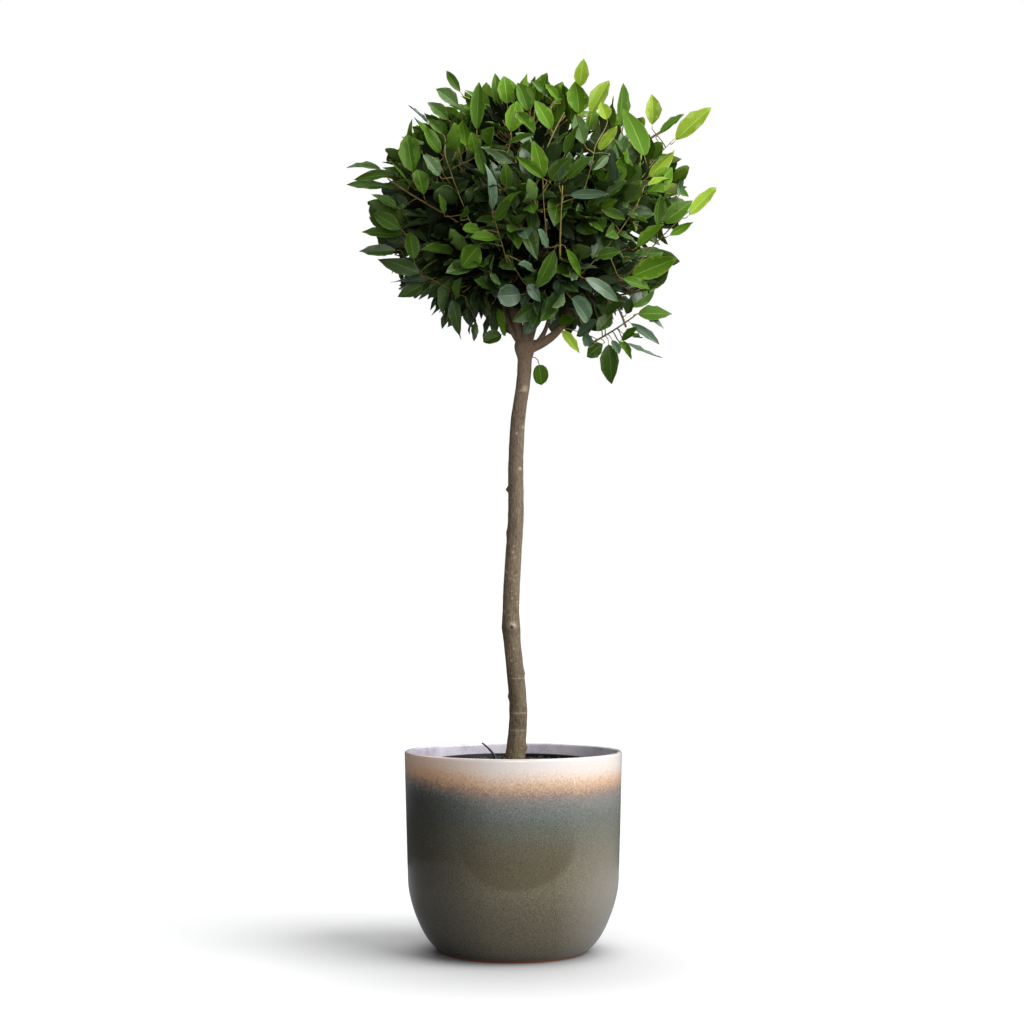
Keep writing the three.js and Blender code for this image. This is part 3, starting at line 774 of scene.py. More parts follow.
# %% [markdown]
# ## The crown's plan
#
# The head of the tree is a slightly flat ball of leaf tips round its heart. It is shared
# out among eighteen masses, and each fills the cone of directions that lie nearest its
# own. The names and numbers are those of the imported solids, so every bough ends where
# the solid one does and every mass keeps to the same space and the same reach.

# %% Masses and boughs
HEART = np.array([24.0, 0, 1106])
HALF = np.array([248.0, 246, 200])  # half the ball's width, depth and height


def planned(name, azimuth, elevation, reach, rise, **more):
    """A mass: the heading and reach of its middle, and how steeply its bough sets out. More
    may be said: how thick the bough is and how steeply it arrives, its parent and where on
    that it starts, and how ragged the mass's outline is."""
    return dict(name=name, azimuth=azimuth, elevation=elevation, reach=reach, rise=rise, **more)


MASSES = [
    planned("top", -6, 71, 241, 84, thick=5.2),
    planned("right_middle", -2, 9, 284, 8, arrive=66, thick=5.8),
    planned("right_upper", 2, 32, 314, 68, parent="right_middle", at=0.62),
    planned("left_middle", 178, 18, 283, 66, arrive=30, thick=5.6),
    planned("left_upper", 178, 50, 264, 74, parent="left_middle", at=0.5),
    planned("left_lower", 186, -18, 262, 40, ragged=0.7, thick=3.4),
    planned("right_lower", -8, -50, 288, 4, ragged=0.6, arrive=-16, thick=3.2),
    planned("front", -90, -5, 246, 52, thick=4.4),
    planned("front_left", -137, 8, 250, 58, thick=4.6),
    planned("front_right", -44, -4, 254, 54, thick=4.6),
    planned("front_upper", -88, 42, 236, 62, parent="top", at=0.3),
    planned("front_lower_left", -130, -46, 226, 20, parent="front_left", at=0.28),
    planned("front_lower_right", -62, -50, 228, 10, parent="front", at=0.25),
    planned("back_left", 124, 3, 254, 56, thick=4.6),
    planned("back_right", 62, 3, 250, 58, thick=4.6),
    planned("back_upper", 90, 43, 238, 60, parent="top", at=0.42),
    planned("back_lower_left", 138, -42, 232, 22, parent="back_left", at=0.3),
    planned("back_lower_right", 58, -42, 236, 22, parent="back_right", at=0.3),
]
RAGGED = 0.3
BOUGH_ENTRY = 0.36  # a bough ends at this share of its mass's reach
BOUGH_TAPER = 0.62
BOUGH_FORK = 0.76
BOUGH_STEPS = 40


def heading(azimuth, elevation):
    """The unit vector at an azimuth from +X towards +Y and an elevation above level."""
    azimuth, elevation = math.radians(azimuth), math.radians(elevation)
    level = math.cos(elevation)
    return np.array([level * math.cos(azimuth), level * math.sin(azimuth), math.sin(elevation)])


def bezier(points, t):
    """A Bezier curve: each control point in turn is blended with the next by t, until one
    point is left."""
    t = np.atleast_1d(t)[:, None]
    layers = [np.broadcast_to(np.asarray(point, float), (len(t), 3)) for point in points]
    while len(layers) > 1:
        layers = [first * (1 - t) + second * t for first, second in zip(layers, layers[1:])]
    return layers[0]


def even_steps(path, count):
    """Points at even distances along a path."""
    walked = np.concatenate([[0], np.cumsum(np.linalg.norm(np.diff(path, axis=0), axis=1))])
    share = np.linspace(0, walked[-1], count)
    return np.stack([np.interp(share, walked, path[:, axis]) for axis in range(3)], axis=1)


by_name = {mass["name"]: mass for mass in MASSES}
for mass in MASSES:
    mass["direction"] = heading(mass["azimuth"], mass["elevation"])
    parent = by_name.get(mass.get("parent"))
    if parent:
        at = round(mass["at"] * (BOUGH_STEPS - 1))
        start = parent["bough"][at]
        mass["thick"] = BOUGH_FORK * parent["bough_radii"][at]
    else:
        start = stem_centre(HEAD_HEIGHT - 6)[0]
    end = HEART + mass["direction"] * BOUGH_ENTRY * mass["reach"]
    span = np.linalg.norm(end - start)
    level_turn = math.degrees(math.atan2(end[1] - start[1], end[0] - start[0]))
    launch = heading(level_turn, mass["rise"])
    arrival = mass["direction"]
    if "arrive" in mass:
        arrival = heading(mass["azimuth"], mass["arrive"])
    curve = bezier(
        [start, start + 0.4 * span * launch, end - 0.33 * span * arrival, end],
        np.linspace(0, 1, 80),
    )
    mass["bough"] = even_steps(curve, BOUGH_STEPS)
    mass["bough_radii"] = mass["thick"] * (1 - (1 - BOUGH_TAPER) * np.linspace(0, 1, BOUGH_STEPS))
    mass["arrival"] = arrival
for mass in MASSES:
    others = [mass["direction"] - other["direction"] for other in MASSES if other is not mass]
    mass["walls"] = unit(others)  # one wall between this mass and each other one
    own_share = mass["reach"] * np.linalg.norm(mass["direction"] / HALF)
    mass["lead_limit"] = 1.04 * own_share
    mass["limit"] = 1 + mass.get("ragged", RAGGED) * (own_share - 1)
print("boughs laid out:", len(MASSES))

# %% [markdown]
# ## Bark on the stem and boughs
#
# A bough doesn't start as a plain stick: it leaves its parent in a collar, thick at first
# and soon slender. Each bough is a tube along its curve whose radius has that collar and
# a little noise. They run into the stem's head, as branches do, and share its bark.

# %% Boughs with collars
BOUGH_SIDES = 20
COLLAR = 1.15  # the extra thickness at the very start, as a share
COLLAR_LENGTH = 21
KNUCKLES = 3  # leaf-scar knuckles along each bough


def bough_skin(mass, seed):
    """A tube with a collar at its start, knuckles where old leaves sat, and fine noise."""
    path, radii = mass["bough"], mass["bough_radii"].copy()
    walked = np.linspace(0, 1, BOUGH_STEPS) * np.linalg.norm(np.diff(path, axis=0), axis=1).sum()
    radii *= 1 + COLLAR * np.exp(-walked / COLLAR_LENGTH)
    spots = np.random.default_rng(seed).uniform(30, walked[-1], KNUCKLES)
    for spot in spots:
        radii += 0.14 * mass["thick"] * np.exp(-(((walked - spot) / 4) ** 2))
    points = tube(path, radii, BOUGH_SIDES).reshape(BOUGH_STEPS, BOUGH_SIDES, 3)
    u = np.arange(BOUGH_SIDES)[None] / BOUGH_SIDES + np.zeros((BOUGH_STEPS, 1))
    v = np.linspace(0, 1, BOUGH_STEPS)[:, None] + np.zeros((1, BOUGH_SIDES))
    out = unit(points - path[:, None])
    points = points + 0.3 * rough_hills(u, v, 5, 12, seed, layers=3)[..., None] * out
    return points.reshape(-1, 3), capped(BOUGH_STEPS, BOUGH_SIDES)


limb_parts = [(stem_skin, capped(STEM_ROWS + len(dome), STEM_COLUMNS))]
limb_parts += [bough_skin(mass, 500 + 7 * index) for index, mass in enumerate(MASSES)]
limb_points, limb_faces = joined(limb_parts)

# %% [markdown]
# Bay bark is smooth and thin: grey-brown above, greener and browner near the ground where
# algae grow, with fine upright streaks and pale specks. Stretching the noise along the
# stem makes streaks of it. The wound's depth is kept as an attribute on the mesh, so that
# the material can paint shade into the hole.

# %% The bark
bark, tree, shader = new_material("bay_bark")
upward = along_axis(tree, own_place(tree), "Z")
streaks = mottled(tree, 120.0, 480.0, 0.5, stretch=(1, 1, 0.26)).outputs["Mask"]
spots = mottled(tree, 210.0, 560.0, 0.45).outputs["Mask"]
patches = mottled(tree, 14.0, 90.0, 0.4, stretch=(1, 1, 0.5)).outputs["Mask"]
tone = scaled(tree, spots, 0.45, times(tree, streaks, 0.55))
base_tone = tones(
    tree, tone, (0.36, 78, 64, 49), (0.45, 102, 87, 70), (0.54, 119, 103, 84), (0.64, 142, 125, 103)
)
# The younger wood at the fork is paler and redder, with painted light on it too.
paler_wood_and_light = mapped(tree, upward, 0.80, 0.90, 0.0, 0.42)
base_tone = blend_colours(tree, paler_wood_and_light, base_tone, srgb(176, 146, 118))
# The boughs above it are darkened as painted shade inside the crown.
painted_crown_shade = mapped(tree, upward, 0.925, 0.985, 0.0, 0.62)
base_tone = blend_colours(tree, painted_crown_shade, base_tone, srgb(66, 48, 34))
# Algae: strongest at the ground, gone two thirds of the way up, and patchy.
climb = mapped(tree, upward, GROUND * MM, (GROUND + 430) * MM, 0.95, 0.0)
mossy = held(tree, times(tree, climb, scaled(tree, patches, 1.4, 0.1)))
green = tones(tree, tone, (0.36, 50, 41, 24), (0.48, 78, 67, 44), (0.62, 106, 93, 64))
weathered = blend_colours(tree, mossy, base_tone, green)
scar = add_node(tree, "Attribute", attribute_name="scar").outputs["Fac"]
scarred = blend_colours(tree, scar, weathered, srgb(184, 166, 140))
# Painted shade darkens the wound's hole, most where it is deepest.
hole = add_node(tree, "Attribute", attribute_name="wound").outputs["Fac"]
darkened = blend_colours(tree, hole, scarred, srgb(28, 20, 14))
feed(tree, shader, {"Base Color": darkened, "Roughness": 0.8})
bump(tree, shader, tone, 0.0034)

limb_nodes = ["stem"] + ["bough_" + mass["name"] for mass in MASSES]
limbs = add_mesh("bark_of_stem_and_boughs", limb_points, limb_faces, [bark], limb_nodes)
wound = np.zeros(len(limb_points), np.float32)
wound[: holes.size] = np.clip(holes.ravel() / 1.9, 0, 1)
limbs.data.attributes.new("wound", "FLOAT", "POINT").data.foreach_set("value", wound)
scars = np.zeros(len(limb_points), np.float32)
scars[: holes.size] = np.clip(marks_at(height, turn, STEM_SCARS).ravel(), 0, 0.9)
limbs.data.attributes.new("scar", "FLOAT", "POINT").data.foreach_set("value", scars)

# %% [markdown]
# ## Growing the twigs
#
# Each mass has a stem of its own that carries on from its bough. Side twigs leave it by
# the golden angle, which is how most plants space their leaves, and finer twigs leave
# those. A twig is kept only if it stays in its mass's space and clear of the limbs. That
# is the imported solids' own rule, with one more order of twigs.

# %% The rule for twigs
GOLDEN_ANGLE = math.radians(137.508)
UP = np.array([0.0, 0, 1])
OVERLAP = 16  # how far a mass may lean into its neighbours' space
BOX_SPARE = 12
LIMB_GAP = 1.5
box_low, box_high = np.array(cad_box) / MM
SIDE_TWIGS = 9
SIDE_SPREAD = (78, 38)  # degrees from the mass's stem, at its foot and its tip
SIDE_LENGTH = 88
TWIG_BOUNDS = 0.80  # twigs end at this share of the ball, to leave room for leaves
TWIG_SHORTEST = 20
FINE_TWIGS = 2
FINE_LENGTH = 38
FINE_SPREAD = 40
STEM_TIP_RADIUS = 1.7
TWIG_RADII = (1.7, 1.1)
FINE_RADII = (1.2, 0.85)

limb_line = [stem_centre(np.linspace(0, HEAD_HEIGHT, 80))] + [mass["bough"] for mass in MASSES]
limb_line = np.concatenate(limb_line)
limb_girth = [np.full(80, 14.0)] + [mass["bough_radii"] for mass in MASSES]
limb_girth = np.concatenate(limb_girth)


def keeps_to_space(mass, points, limit):
    """Whether points lie inside the crown's ball, this mass's side of every wall and the
    packed box with a little to spare."""
    out = points - HEART
    if np.linalg.norm(out / HALF, axis=1).max() > limit:
        return False
    if (points < box_low - BOX_SPARE).any() or (points > box_high + BOX_SPARE).any():
        return False
    return (out @ mass["walls"].T).min() > -OVERLAP


def clear_of_limbs(points):
    """Whether no point is nearer to a limb's line than its girth and a gap."""
    distance = np.linalg.norm(points[:, None] - limb_line[None], axis=2)
    return (distance > limb_girth + LIMB_GAP).all()


def leaning(axis, side, turn, angle):
    """A unit vector at an angle from an axis, turned round it from a given side."""
    across = unit(side - axis * (side @ axis))
    beyond = np.cross(axis, across)
    swung = across * math.cos(turn) + beyond * math.sin(turn)
    return axis * math.cos(angle) + swung * math.sin(angle)


def light_at(point):
    """Where a leaf looks for light: up, and away from the crown's heart."""
    return unit(unit(point - HEART) + UP)


def fitted_twig(mass, root, start, length, bounds):
    """The longest twig from a root that keeps to its space. It bends up to the light."""
    while length >= TWIG_SHORTEST:
        end = root + 0.86 * length * start + 0.3 * length * light_at(root)
        path = bezier([root, root + 0.5 * length * start, end], np.linspace(0, 1, 6))
        if keeps_to_space(mass, path, bounds * mass["limit"]) and clear_of_limbs(path[2:]):
            return path
        length *= 0.82
    return None


# %% [markdown]
# ## Placing the leaves
#
# A bay shoot carries its leaves in a spiral and ends in a tuft of them. Each leaf leans
# out from the twig, faces the light more or less, and is left out where it would leave
# its mass's space, touch a limb or sit on another leaf. Only its place and its pose are
# stored here. The blades are made later, all at once.

# %% The rule for leaves
LEAF_LENGTH = 65  # with its stalk
LEAF_WIDTH = 26
LEAF_SPACING = 16
LEAF_SPREAD = 46
LEAF_BARE = 0.4  # the share of a twig next to its foot without leaves
INNER_BARE = 0.08  # the same for the long shoots, which fill the crown's middle
TUFT = 5
LEAF_TRIES = 6
LEAF_ROLL = 55
PAINTED_SHADE_DEPTH = 0.62  # leaves nearer the heart than this share are painted very dark, as painted shade
PAINTED_DIM_DEPTH = 0.74
ELBOW_ROOM = (12, 14)  # how near two leaves' middles may be, deep inside and outside
STALK_SHARE = 0.11  # of a leaf's length
FORK = stem_centre(HEAD_HEIGHT - 6)[0]
BARE_WOOD = 82  # leaves keep this far from the fork
TWIG_STEPS = 30
STEM_STEPS = 60
WHIPS = 5
WHIP_SPREAD = 17
WHIP_REACH = 0.68
RAGGED_TUFTS = (0.8, 1.11)  # how far a twig's leaves may reach, as shares of the limit


def lifted(direction, root):
    """A leaf's direction drawn up towards the light: most at the crown's top, not at all
    low down, where leaves hang by their own weight."""
    level = (root[2] - HEART[2]) / HALF[2]
    return unit(direction + (0.25 + 0.45 * level) * UP)


def try_leaf(mass, grown, root, axis, turn, spread, limit, random):
    """Adds one leaf if some turn and size of it fits."""
    light = light_at(root)
    for attempt in range(LEAF_TRIES):
        angle = math.radians(spread * (1 - 0.08 * attempt) * random.uniform(0.75, 1.2))
        length = LEAF_LENGTH * random.uniform(0.74, 1.12) * (1 - 0.04 * attempt)
        along = lifted(leaning(axis, light, turn + 1.4 * attempt, angle), root)
        checked = root + np.outer([0.35, 0.7, 1.0], length * along)
        if np.linalg.norm(checked - FORK, axis=1).min() < BARE_WOOD:
            continue
        if not keeps_to_space(mass, checked, limit) or not clear_of_limbs(checked):
            continue
        if covers_placed(checked) or beyond_rim(checked):
            continue
        middle = root + 0.55 * length * along
        depth = np.linalg.norm((middle - HEART) / HALF)
        room = ELBOW_ROOM[0] if depth < PAINTED_SHADE_DEPTH else ELBOW_ROOM[1]
        others = np.array(grown["middles"]).reshape(-1, 3)
        if (np.linalg.norm(others - middle, axis=1) < room).any():
            continue
        roll = math.radians(LEAF_ROLL) * random.uniform(-1, 1)
        across = unit(np.cross(light, along))
        across = across * math.cos(roll) + np.cross(along, across) * math.sin(roll)
        grown["middles"].append(middle)
        grown["leaves"].append((root, along, across, length, 0, 0, grown["spray"]))
        return


def leaf_twig(mass, grown, path, lead, bare, random):
    """A tuft at a twig's end, then leaves in a spiral back towards its foot."""
    path = even_steps(path, TWIG_STEPS)
    tangents = unit(np.gradient(path, axis=0))
    turn = random.uniform(0, 2 * np.pi)
    ragged = mass["limit"] * random.uniform(*RAGGED_TUFTS)
    for leaf in range(TUFT):
        turn += GOLDEN_ANGLE
        at = TWIG_STEPS - 1 - leaf
        spread = 6 if leaf == 0 else 0.75 * LEAF_SPREAD
        limit = max(lead, ragged) if leaf == 0 else ragged
        try_leaf(mass, grown, path[at], tangents[-1], turn, spread, limit, random)
    length = np.linalg.norm(np.diff(path, axis=0), axis=1).sum()
    count = round((1 - bare) * length / LEAF_SPACING)
    for leaf in range(count):
        turn += GOLDEN_ANGLE
        at = round((TWIG_STEPS - 1) * (1 - (1 - bare) * (leaf + 0.7) / count))
        try_leaf(mass, grown, path[at], tangents[at], turn, LEAF_SPREAD, ragged, random)


def add_shoot(grown, kind, path, radii, lead, bare=LEAF_BARE):
    """Stores a twig, and that leaves go on it later, in the spray of its parent."""
    grown["twigs"].append((kind, path, radii))
    grown["leafy"].append((path, lead, bare, grown["spray"]))


def add_whip(mass, grown, random):
    """A long thin shoot from partway up a bough to near the crown's face, with a tuft."""
    foot = int(random.uniform(0.35, 0.95) * (BOUGH_STEPS - 1))
    root = mass["bough"][foot]
    tangent = unit(mass["bough"][foot] - mass["bough"][foot - 1])
    heads = leaning(mass["direction"], UP, random.uniform(0, 2 * np.pi), math.radians(WHIP_SPREAD))
    tip = HEART + heads * WHIP_REACH * mass["reach"] * random.uniform(0.85, 1.05)
    span = np.linalg.norm(tip - root)
    path = bezier([root, root + 0.35 * span * tangent, tip], np.linspace(0, 1, 10))
    grown["spray"] += 1
    add_shoot(grown, "twig", path, TWIG_RADII, mass["limit"], INNER_BARE)


def grow_wood(mass, seed):
    """One mass's wood: its stem, its side twigs and their finer twigs."""
    random = np.random.default_rng(seed)
    grown = dict(mass=mass, random=random, twigs=[], leafy=[], leaves=[], middles=[], spray=0)
    start = mass["bough"][-1]
    tip = HEART + mass["direction"] * (mass["reach"] - 0.95 * LEAF_LENGTH)
    span = np.linalg.norm(tip - start)
    stem = bezier([start, start + 0.45 * span * mass["arrival"], tip], np.linspace(0, 1, 12))
    stem_radii = (mass["bough_radii"][-1], STEM_TIP_RADIUS)
    add_shoot(grown, "own_stem", stem, stem_radii, mass["lead_limit"], INNER_BARE)
    for whip in range(WHIPS):
        add_whip(mass, grown, random)
    stem = even_steps(stem, STEM_STEPS)
    tangents = unit(np.gradient(stem, axis=0))
    turn = random.uniform(0, 2 * np.pi)
    for twig in range(SIDE_TWIGS):
        share = 0.84 * (twig + 0.4) / SIDE_TWIGS
        turn += GOLDEN_ANGLE
        at = round((STEM_STEPS - 1) * share)
        spread = SIDE_SPREAD[0] + (SIDE_SPREAD[1] - SIDE_SPREAD[0]) * share
        spread = math.radians(spread * random.uniform(0.85, 1.15))
        heads = leaning(tangents[at], UP, turn, spread)
        length = SIDE_LENGTH * random.uniform(0.75, 1.1) * (1 - 0.3 * share)
        path = fitted_twig(mass, stem[at], heads, length, TWIG_BOUNDS)
        if path is None:
            continue
        grown["spray"] += 1
        add_shoot(grown, "twig", path, TWIG_RADII, mass["limit"])
        fine_turn = random.uniform(0, 2 * np.pi)
        for fine in range(FINE_TWIGS):
            fine_turn += GOLDEN_ANGLE
            axis = unit(path[3 + fine] - path[2 + fine])
            heads = leaning(axis, UP, fine_turn, math.radians(FINE_SPREAD))
            length = FINE_LENGTH * random.uniform(0.7, 1.15)
            finer = fitted_twig(mass, path[2 + fine], heads, length, TWIG_BOUNDS + 0.04)
            if finer is not None:
                add_shoot(grown, "fine", finer, FINE_RADII, mass["limit"])
    return grown


crown = [grow_wood(mass, 900 + 13 * index) for index, mass in enumerate(MASSES)]
print("twigs:", sum(len(grown["twigs"]) for grown in crown))

# %% [markdown]
# ## The crown's face
#
# The side that is looked at most is given one by one: long shoots and single leaves are set
# where they give the head its look, with fresh tufts on top, a few bluish leaves with a painted
# sheen low down and a fringe that hangs at the right. Each leaf is tied to the nearest wood behind
# it by a stalk or a thin shoot that leaves it outwards, so nothing hangs in the air.

# %% Shoots and leaves set one by one, in millimetres
PLACED_SHOOTS = [  # points along each, radius at the foot, kind of twig
    ([(66, -177, 1012), (65, -186, 1030), (67, -198, 1070), (69, -201, 1110)], 1.9, "fine"),
    ([(-54, -173, 1047), (-71, -176, 1084), (-85, -172, 1122), (-97, -159, 1159)], 1.2, "fine"),
    ([(-54, -139, 1052), (-96, -132, 1083), (-146, -111, 1109), (-183, -80, 1142)], 2.0, "twig"),
    ([(-9, -168, 1006), (-17, -182, 1038), (-29, -188, 1066), (-30, -191, 1081)], 1.0, "fine"),
    ([(97, -188, 1099), (108, -184, 1127), (116, -171, 1171)], 1.2, "fine"),
    ([(172, -69, 1121), (191, -61, 1152), (221, -36, 1195), (244, -12, 1218)], 1.3, "fine"),
    ([(165, -69, 998), (208, -68, 1053), (241, -52, 1084), (263, -30, 1106)], 1.3, "fine"),
    ([(107, -12, 906), (139, -12, 919), (186, -12, 954)], 1.9, "fine"),
    ([(39, -181, 1141), (50, -170, 1181), (73, -144, 1225)], 1.5, "fine"),
    ([(49, -184, 1028), (42, -199, 1076), (41, -201, 1120)], 0.8, "fine"),
    ([(-9, -189, 1157), (0, -179, 1186), (-4, -176, 1192)], 1.1, "fine"),
    ([(-137, -71, 1007), (-102, -75, 985), (-70, -77, 970)], 1.2, "fine"),
    ([(99, -135, 997), (127, -140, 1024), (161, -138, 1059), (184, -131, 1109)], 1.3, "fine"),
]
# Each leaf's kind follows how light or dark it looks where it hangs, so the kinds paint light and
# shade as well as colour.
PLACED_LEAVES = {  # by kind: foot, tip, width, and 1 where the end is round
    "lime": [
        (98, -40, 1286, 103, -50, 1326, 22), (113, -72, 1239, 141, -72, 1290, 26),
        (206, -37, 1231, 211, -34, 1277, 24), (123, -134, 1172, 146, -139, 1209, 16),
        (197, -92, 1143, 238, -89, 1181, 22), (194, -113, 1127, 228, -108, 1137, 16),
        (135, -112, 1222, 126, -112, 1248, 21), (244, 0, 1216, 297, 0, 1268, 30),
        (71, -60, 923, 97, -60, 890, 16),
        (260, -45, 1096, 300, -19, 1141, 20, 1),
    ],
    "spring": [
        (-9, -87, 1250, -12, -89, 1292, 30), (-4, -140, 1198, 2, -140, 1244, 30),
        (54, -140, 1202, 31, -134, 1252, 24), (95, -97, 1234, 95, -100, 1281, 32),
        (190, -106, 1170, 171, -95, 1240, 35), (229, -72, 1061, 264, -60, 1082, 14),
        (179, -106, 1038, 220, -111, 1067, 23), (174, -77, 1000, 237, -82, 1028, 33),
        (66, -108, 1250, 47, -102, 1280, 13), (-68, -140, 1177, -73, -137, 1216, 21),
        (41, -196, 1121, 33, -217, 1168, 24), (-18, -197, 1080, 8, -223, 1099, 14),
        (75, -175, 1025, 98, -172, 988, 12), (-23, -60, 960, -11, -60, 915, 12),
        (158, 0, 913, 176, 0, 886, 18),
    ],
    "fresh": [
        (-53, -107, 1208, -51, -106, 1277, 22), (-22, -69, 1250, -29, -79, 1297, 18),
        (22, -113, 1234, 8, -121, 1274, 27), (158, -67, 1221, 157, -68, 1286, 23),
        (215, -43, 1215, 251, -38, 1250, 13), (220, -71, 1080, 264, -76, 1112, 26),
        (187, -5, 954, 238, 5, 958, 28), (-146, -105, 1147, -156, -101, 1206, 32),
        (-129, -133, 1109, -139, -123, 1153, 24), (-106, -104, 1175, -146, -111, 1222, 28),
        (42, -196, 1121, 0, -222, 1149, 16), (-49, -173, 1030, -75, -171, 1000, 34),
        (-23, -181, 1038, -57, -203, 1042, 19), (190, -90, 990, 200, -65, 977, 14),
        (158, -110, 992, 200, -84, 980, 18), (-33, -181, 1169, -26, -203, 1190, 29),
        (-7, -186, 1171, 29, -212, 1179, 14), (-53, -180, 1159, -58, -195, 1186, 21),
        (5, -172, 1219, 25, -198, 1186, 21), (111, -183, 1127, 127, -206, 1133, 15),
        (93, -24, 945, 69, -40, 928, 26), (161, -24, 913, 186, -40, 927, 18),
        (-48, -181, 1052, -69, -202, 1050, 17, 1),
    ],
    "mature": [
        (-79, -35, 1280, -101, -45, 1308, 14), (-81, -57, 1255, -113, -63, 1279, 23),
        (-95, -72, 1230, -127, -64, 1263, 21), (209, -105, 1070, 207, -117, 1113, 23),
        (51, -97, 1258, 25, -108, 1280, 9), (-173, -57, 1151, -234, -61, 1156, 16),
        (-181, -52, 1136, -245, -61, 1139, 14), (-102, -114, 1200, -124, -108, 1227, 12),
        (-165, -89, 1067, -206, -84, 1095, 22), (-170, -84, 1100, -205, -91, 1121, 18),
        (-162, -65, 1064, -224, -58, 1066, 22), (-144, -108, 1020, -154, -100, 1064, 23),
        (53, -195, 1118, 76, -218, 1151, 27), (75, -192, 1120, 110, -208, 1150, 22),
        (-28, -194, 1062, 4, -220, 1082, 22), (58, -177, 1023, 37, -164, 967, 26),
        (128, -177, 1079, 158, -186, 1063, 16), (120, -159, 1017, 150, -173, 1023, 19),
        (143, 0, 909, 150, 0, 851, 31), (134, 0, 910, 109, 0, 893, 22),
        (-83, -120, 964, -76, -146, 985, 21), (-41, -189, 1126, -53, -206, 1167, 15),
        (73, -186, 1157, 97, -192, 1197, 24), (101, -175, 1173, 84, -186, 1212, 24),
        (-98, -170, 1075, -101, -196, 1097, 12), (-74, -181, 1066, -67, -207, 1078, 14),
        (138, -24, 952, 164, -40, 967, 21), (123, -24, 968, 145, -40, 979, 22),
        (-18, -25, 921, -45, -25, 910, 22, 1),
    ],
    "dark": [
        (-196, -43, 1163, -248, -38, 1176, 17), (-173, -52, 1042, -228, -48, 1041, 19),
        (-137, -78, 1003, -194, -74, 1037, 26), (-134, -51, 992, -168, -45, 971, 24),
        (-90, -57, 969, -77, -47, 911, 22), (-56, -33, 938, -61, -43, 912, 12),
        (134, -178, 1156, 110, -204, 1128, 12), (-33, -157, 994, -21, -168, 975, 9),
        (-105, -166, 1130, -128, -170, 1161, 21), (132, -177, 1101, 159, -192, 1119, 17),
        (145, -24, 949, 123, -40, 921, 22), (166, -24, 922, 193, -40, 911, 14),
        (168, -24, 952, 178, -40, 974, 19),
    ],
    "bluish_sheen": [
        (196, -1, 951, 229, 1, 938, 12), (241, -82, 1116, 252, -56, 1162, 9),
        (-125, -56, 1228, -154, -60, 1256, 7), (-121, -64, 999, -181, -66, 993, 13),
        (65, -195, 1115, 70, -221, 1135, 11), (-30, -192, 1076, -32, -218, 1135, 21),
        (102, -139, 988, 159, -113, 966, 20), (79, -192, 1098, 136, -204, 1099, 14),
        (123, -64, 938, 99, -38, 919, 22), (29, -164, 996, 2, -190, 998, 18),
        (19, -151, 977, 42, -151, 957, 17), (171, 0, 911, 219, 0, 881, 12),
        (176, 0, 941, 218, 0, 908, 15), (147, -24, 913, 156, -40, 889, 14),
        (113, -24, 904, 106, -40, 922, 16),
        (49, -185, 1027, 34, -211, 1042, 16, 1), (10, -139, 965, -24, -150, 960, 32, 1),
        (84, -124, 961, 111, -98, 938, 29, 1),
    ],
}
TIE_RADII = (0.9, 0.6)


def nearest_wood(foot, wood, favoured=0):
    """The wood point a shoot to this foot would leave: near it, and nearer the fork. The
    last few points can be favoured, so that they count as twice as near."""
    reach = foot - wood
    distance = np.linalg.norm(reach, axis=1)
    outwards = (reach @ unit(foot - FORK)) / distance
    cost = distance + 35 * np.clip(0.3 - outwards, 0, None)
    if favoured:
        cost[-favoured:] *= 0.5
    return wood[np.argmin(cost)]


def tie(root, foot, along):
    """A thin curved shoot from the wood to a leaf's foot, ending along the leaf."""
    span = np.linalg.norm(foot - root)
    straight = unit(foot - root)
    leaves_wood = unit(straight + 0.3 * unit(foot - FORK))
    arrives = unit(straight + 0.25 * along)
    return bezier(
        [root, root + 0.35 * span * leaves_wood, foot - 0.3 * span * arrives, foot],
        np.linspace(0, 1, 8),
    )


wood = [mass["bough"][8:] for mass in MASSES]
wood += [even_steps(path, 24) for grown in crown for kind, path, radii in grown["twigs"]]
wood = np.concatenate(wood)
ties = []
for points, radius, kind in PLACED_SHOOTS:
    points = np.array(points, float)
    root = nearest_wood(points[0], wood)
    first = unit(points[1] - points[0])
    lead_in = tie(root, points[0], first)
    path = np.concatenate([lead_in[:-1], bezier(points, np.linspace(0, 1, 14))])
    ties.append((kind, path, (radius, 0.55 * radius)))
placed_wood = np.concatenate([even_steps(path, 30)[12:] for kind, path, radii in ties])
wood = np.concatenate([wood, placed_wood])
placed_leaves = []
guarded = []  # points the free leaves keep clear of, each with its radius
for kind, rows in PLACED_LEAVES.items():
    for row in rows:
        foot, tip = np.array(row[:3], float), np.array(row[3:6], float)
        width, rounded = row[6], len(row) > 7
        along = unit(tip - foot)
        length = np.linalg.norm(tip - foot) / (1 - STALK_SHARE)
        root = tip - length * along
        faces = unit(np.array([0.1, -1, 0.35]) + 0.25 * np.sin(foot))
        across = unit(np.cross(faces, along))
        placed_leaves.append((kind, (root, along, across, length, width, rounded)))
        leaves_from = nearest_wood(root, wood, len(placed_wood))
        ties.append(("fine", tie(leaves_from, root, along), TIE_RADII))
        for share in (0.15, 0.4, 0.65, 0.9):
            guarded.append((*(foot + share * (tip - foot)), 0.5 * width))
for kind, path, radii in ties[: len(PLACED_SHOOTS)]:
    guarded += [(*point, 4) for point in even_steps(path, 12)[5:]]
guarded = np.array(guarded)
print("set by hand:", len(PLACED_SHOOTS), "shoots and", len(placed_leaves), "leaves")

# %% [markdown]
# The free leaves come last. They keep out of the way of the listed ones: none grows
# through them, and none covers them from the front. They stay a little further in at the
# rim too, where single shoots make the outline.

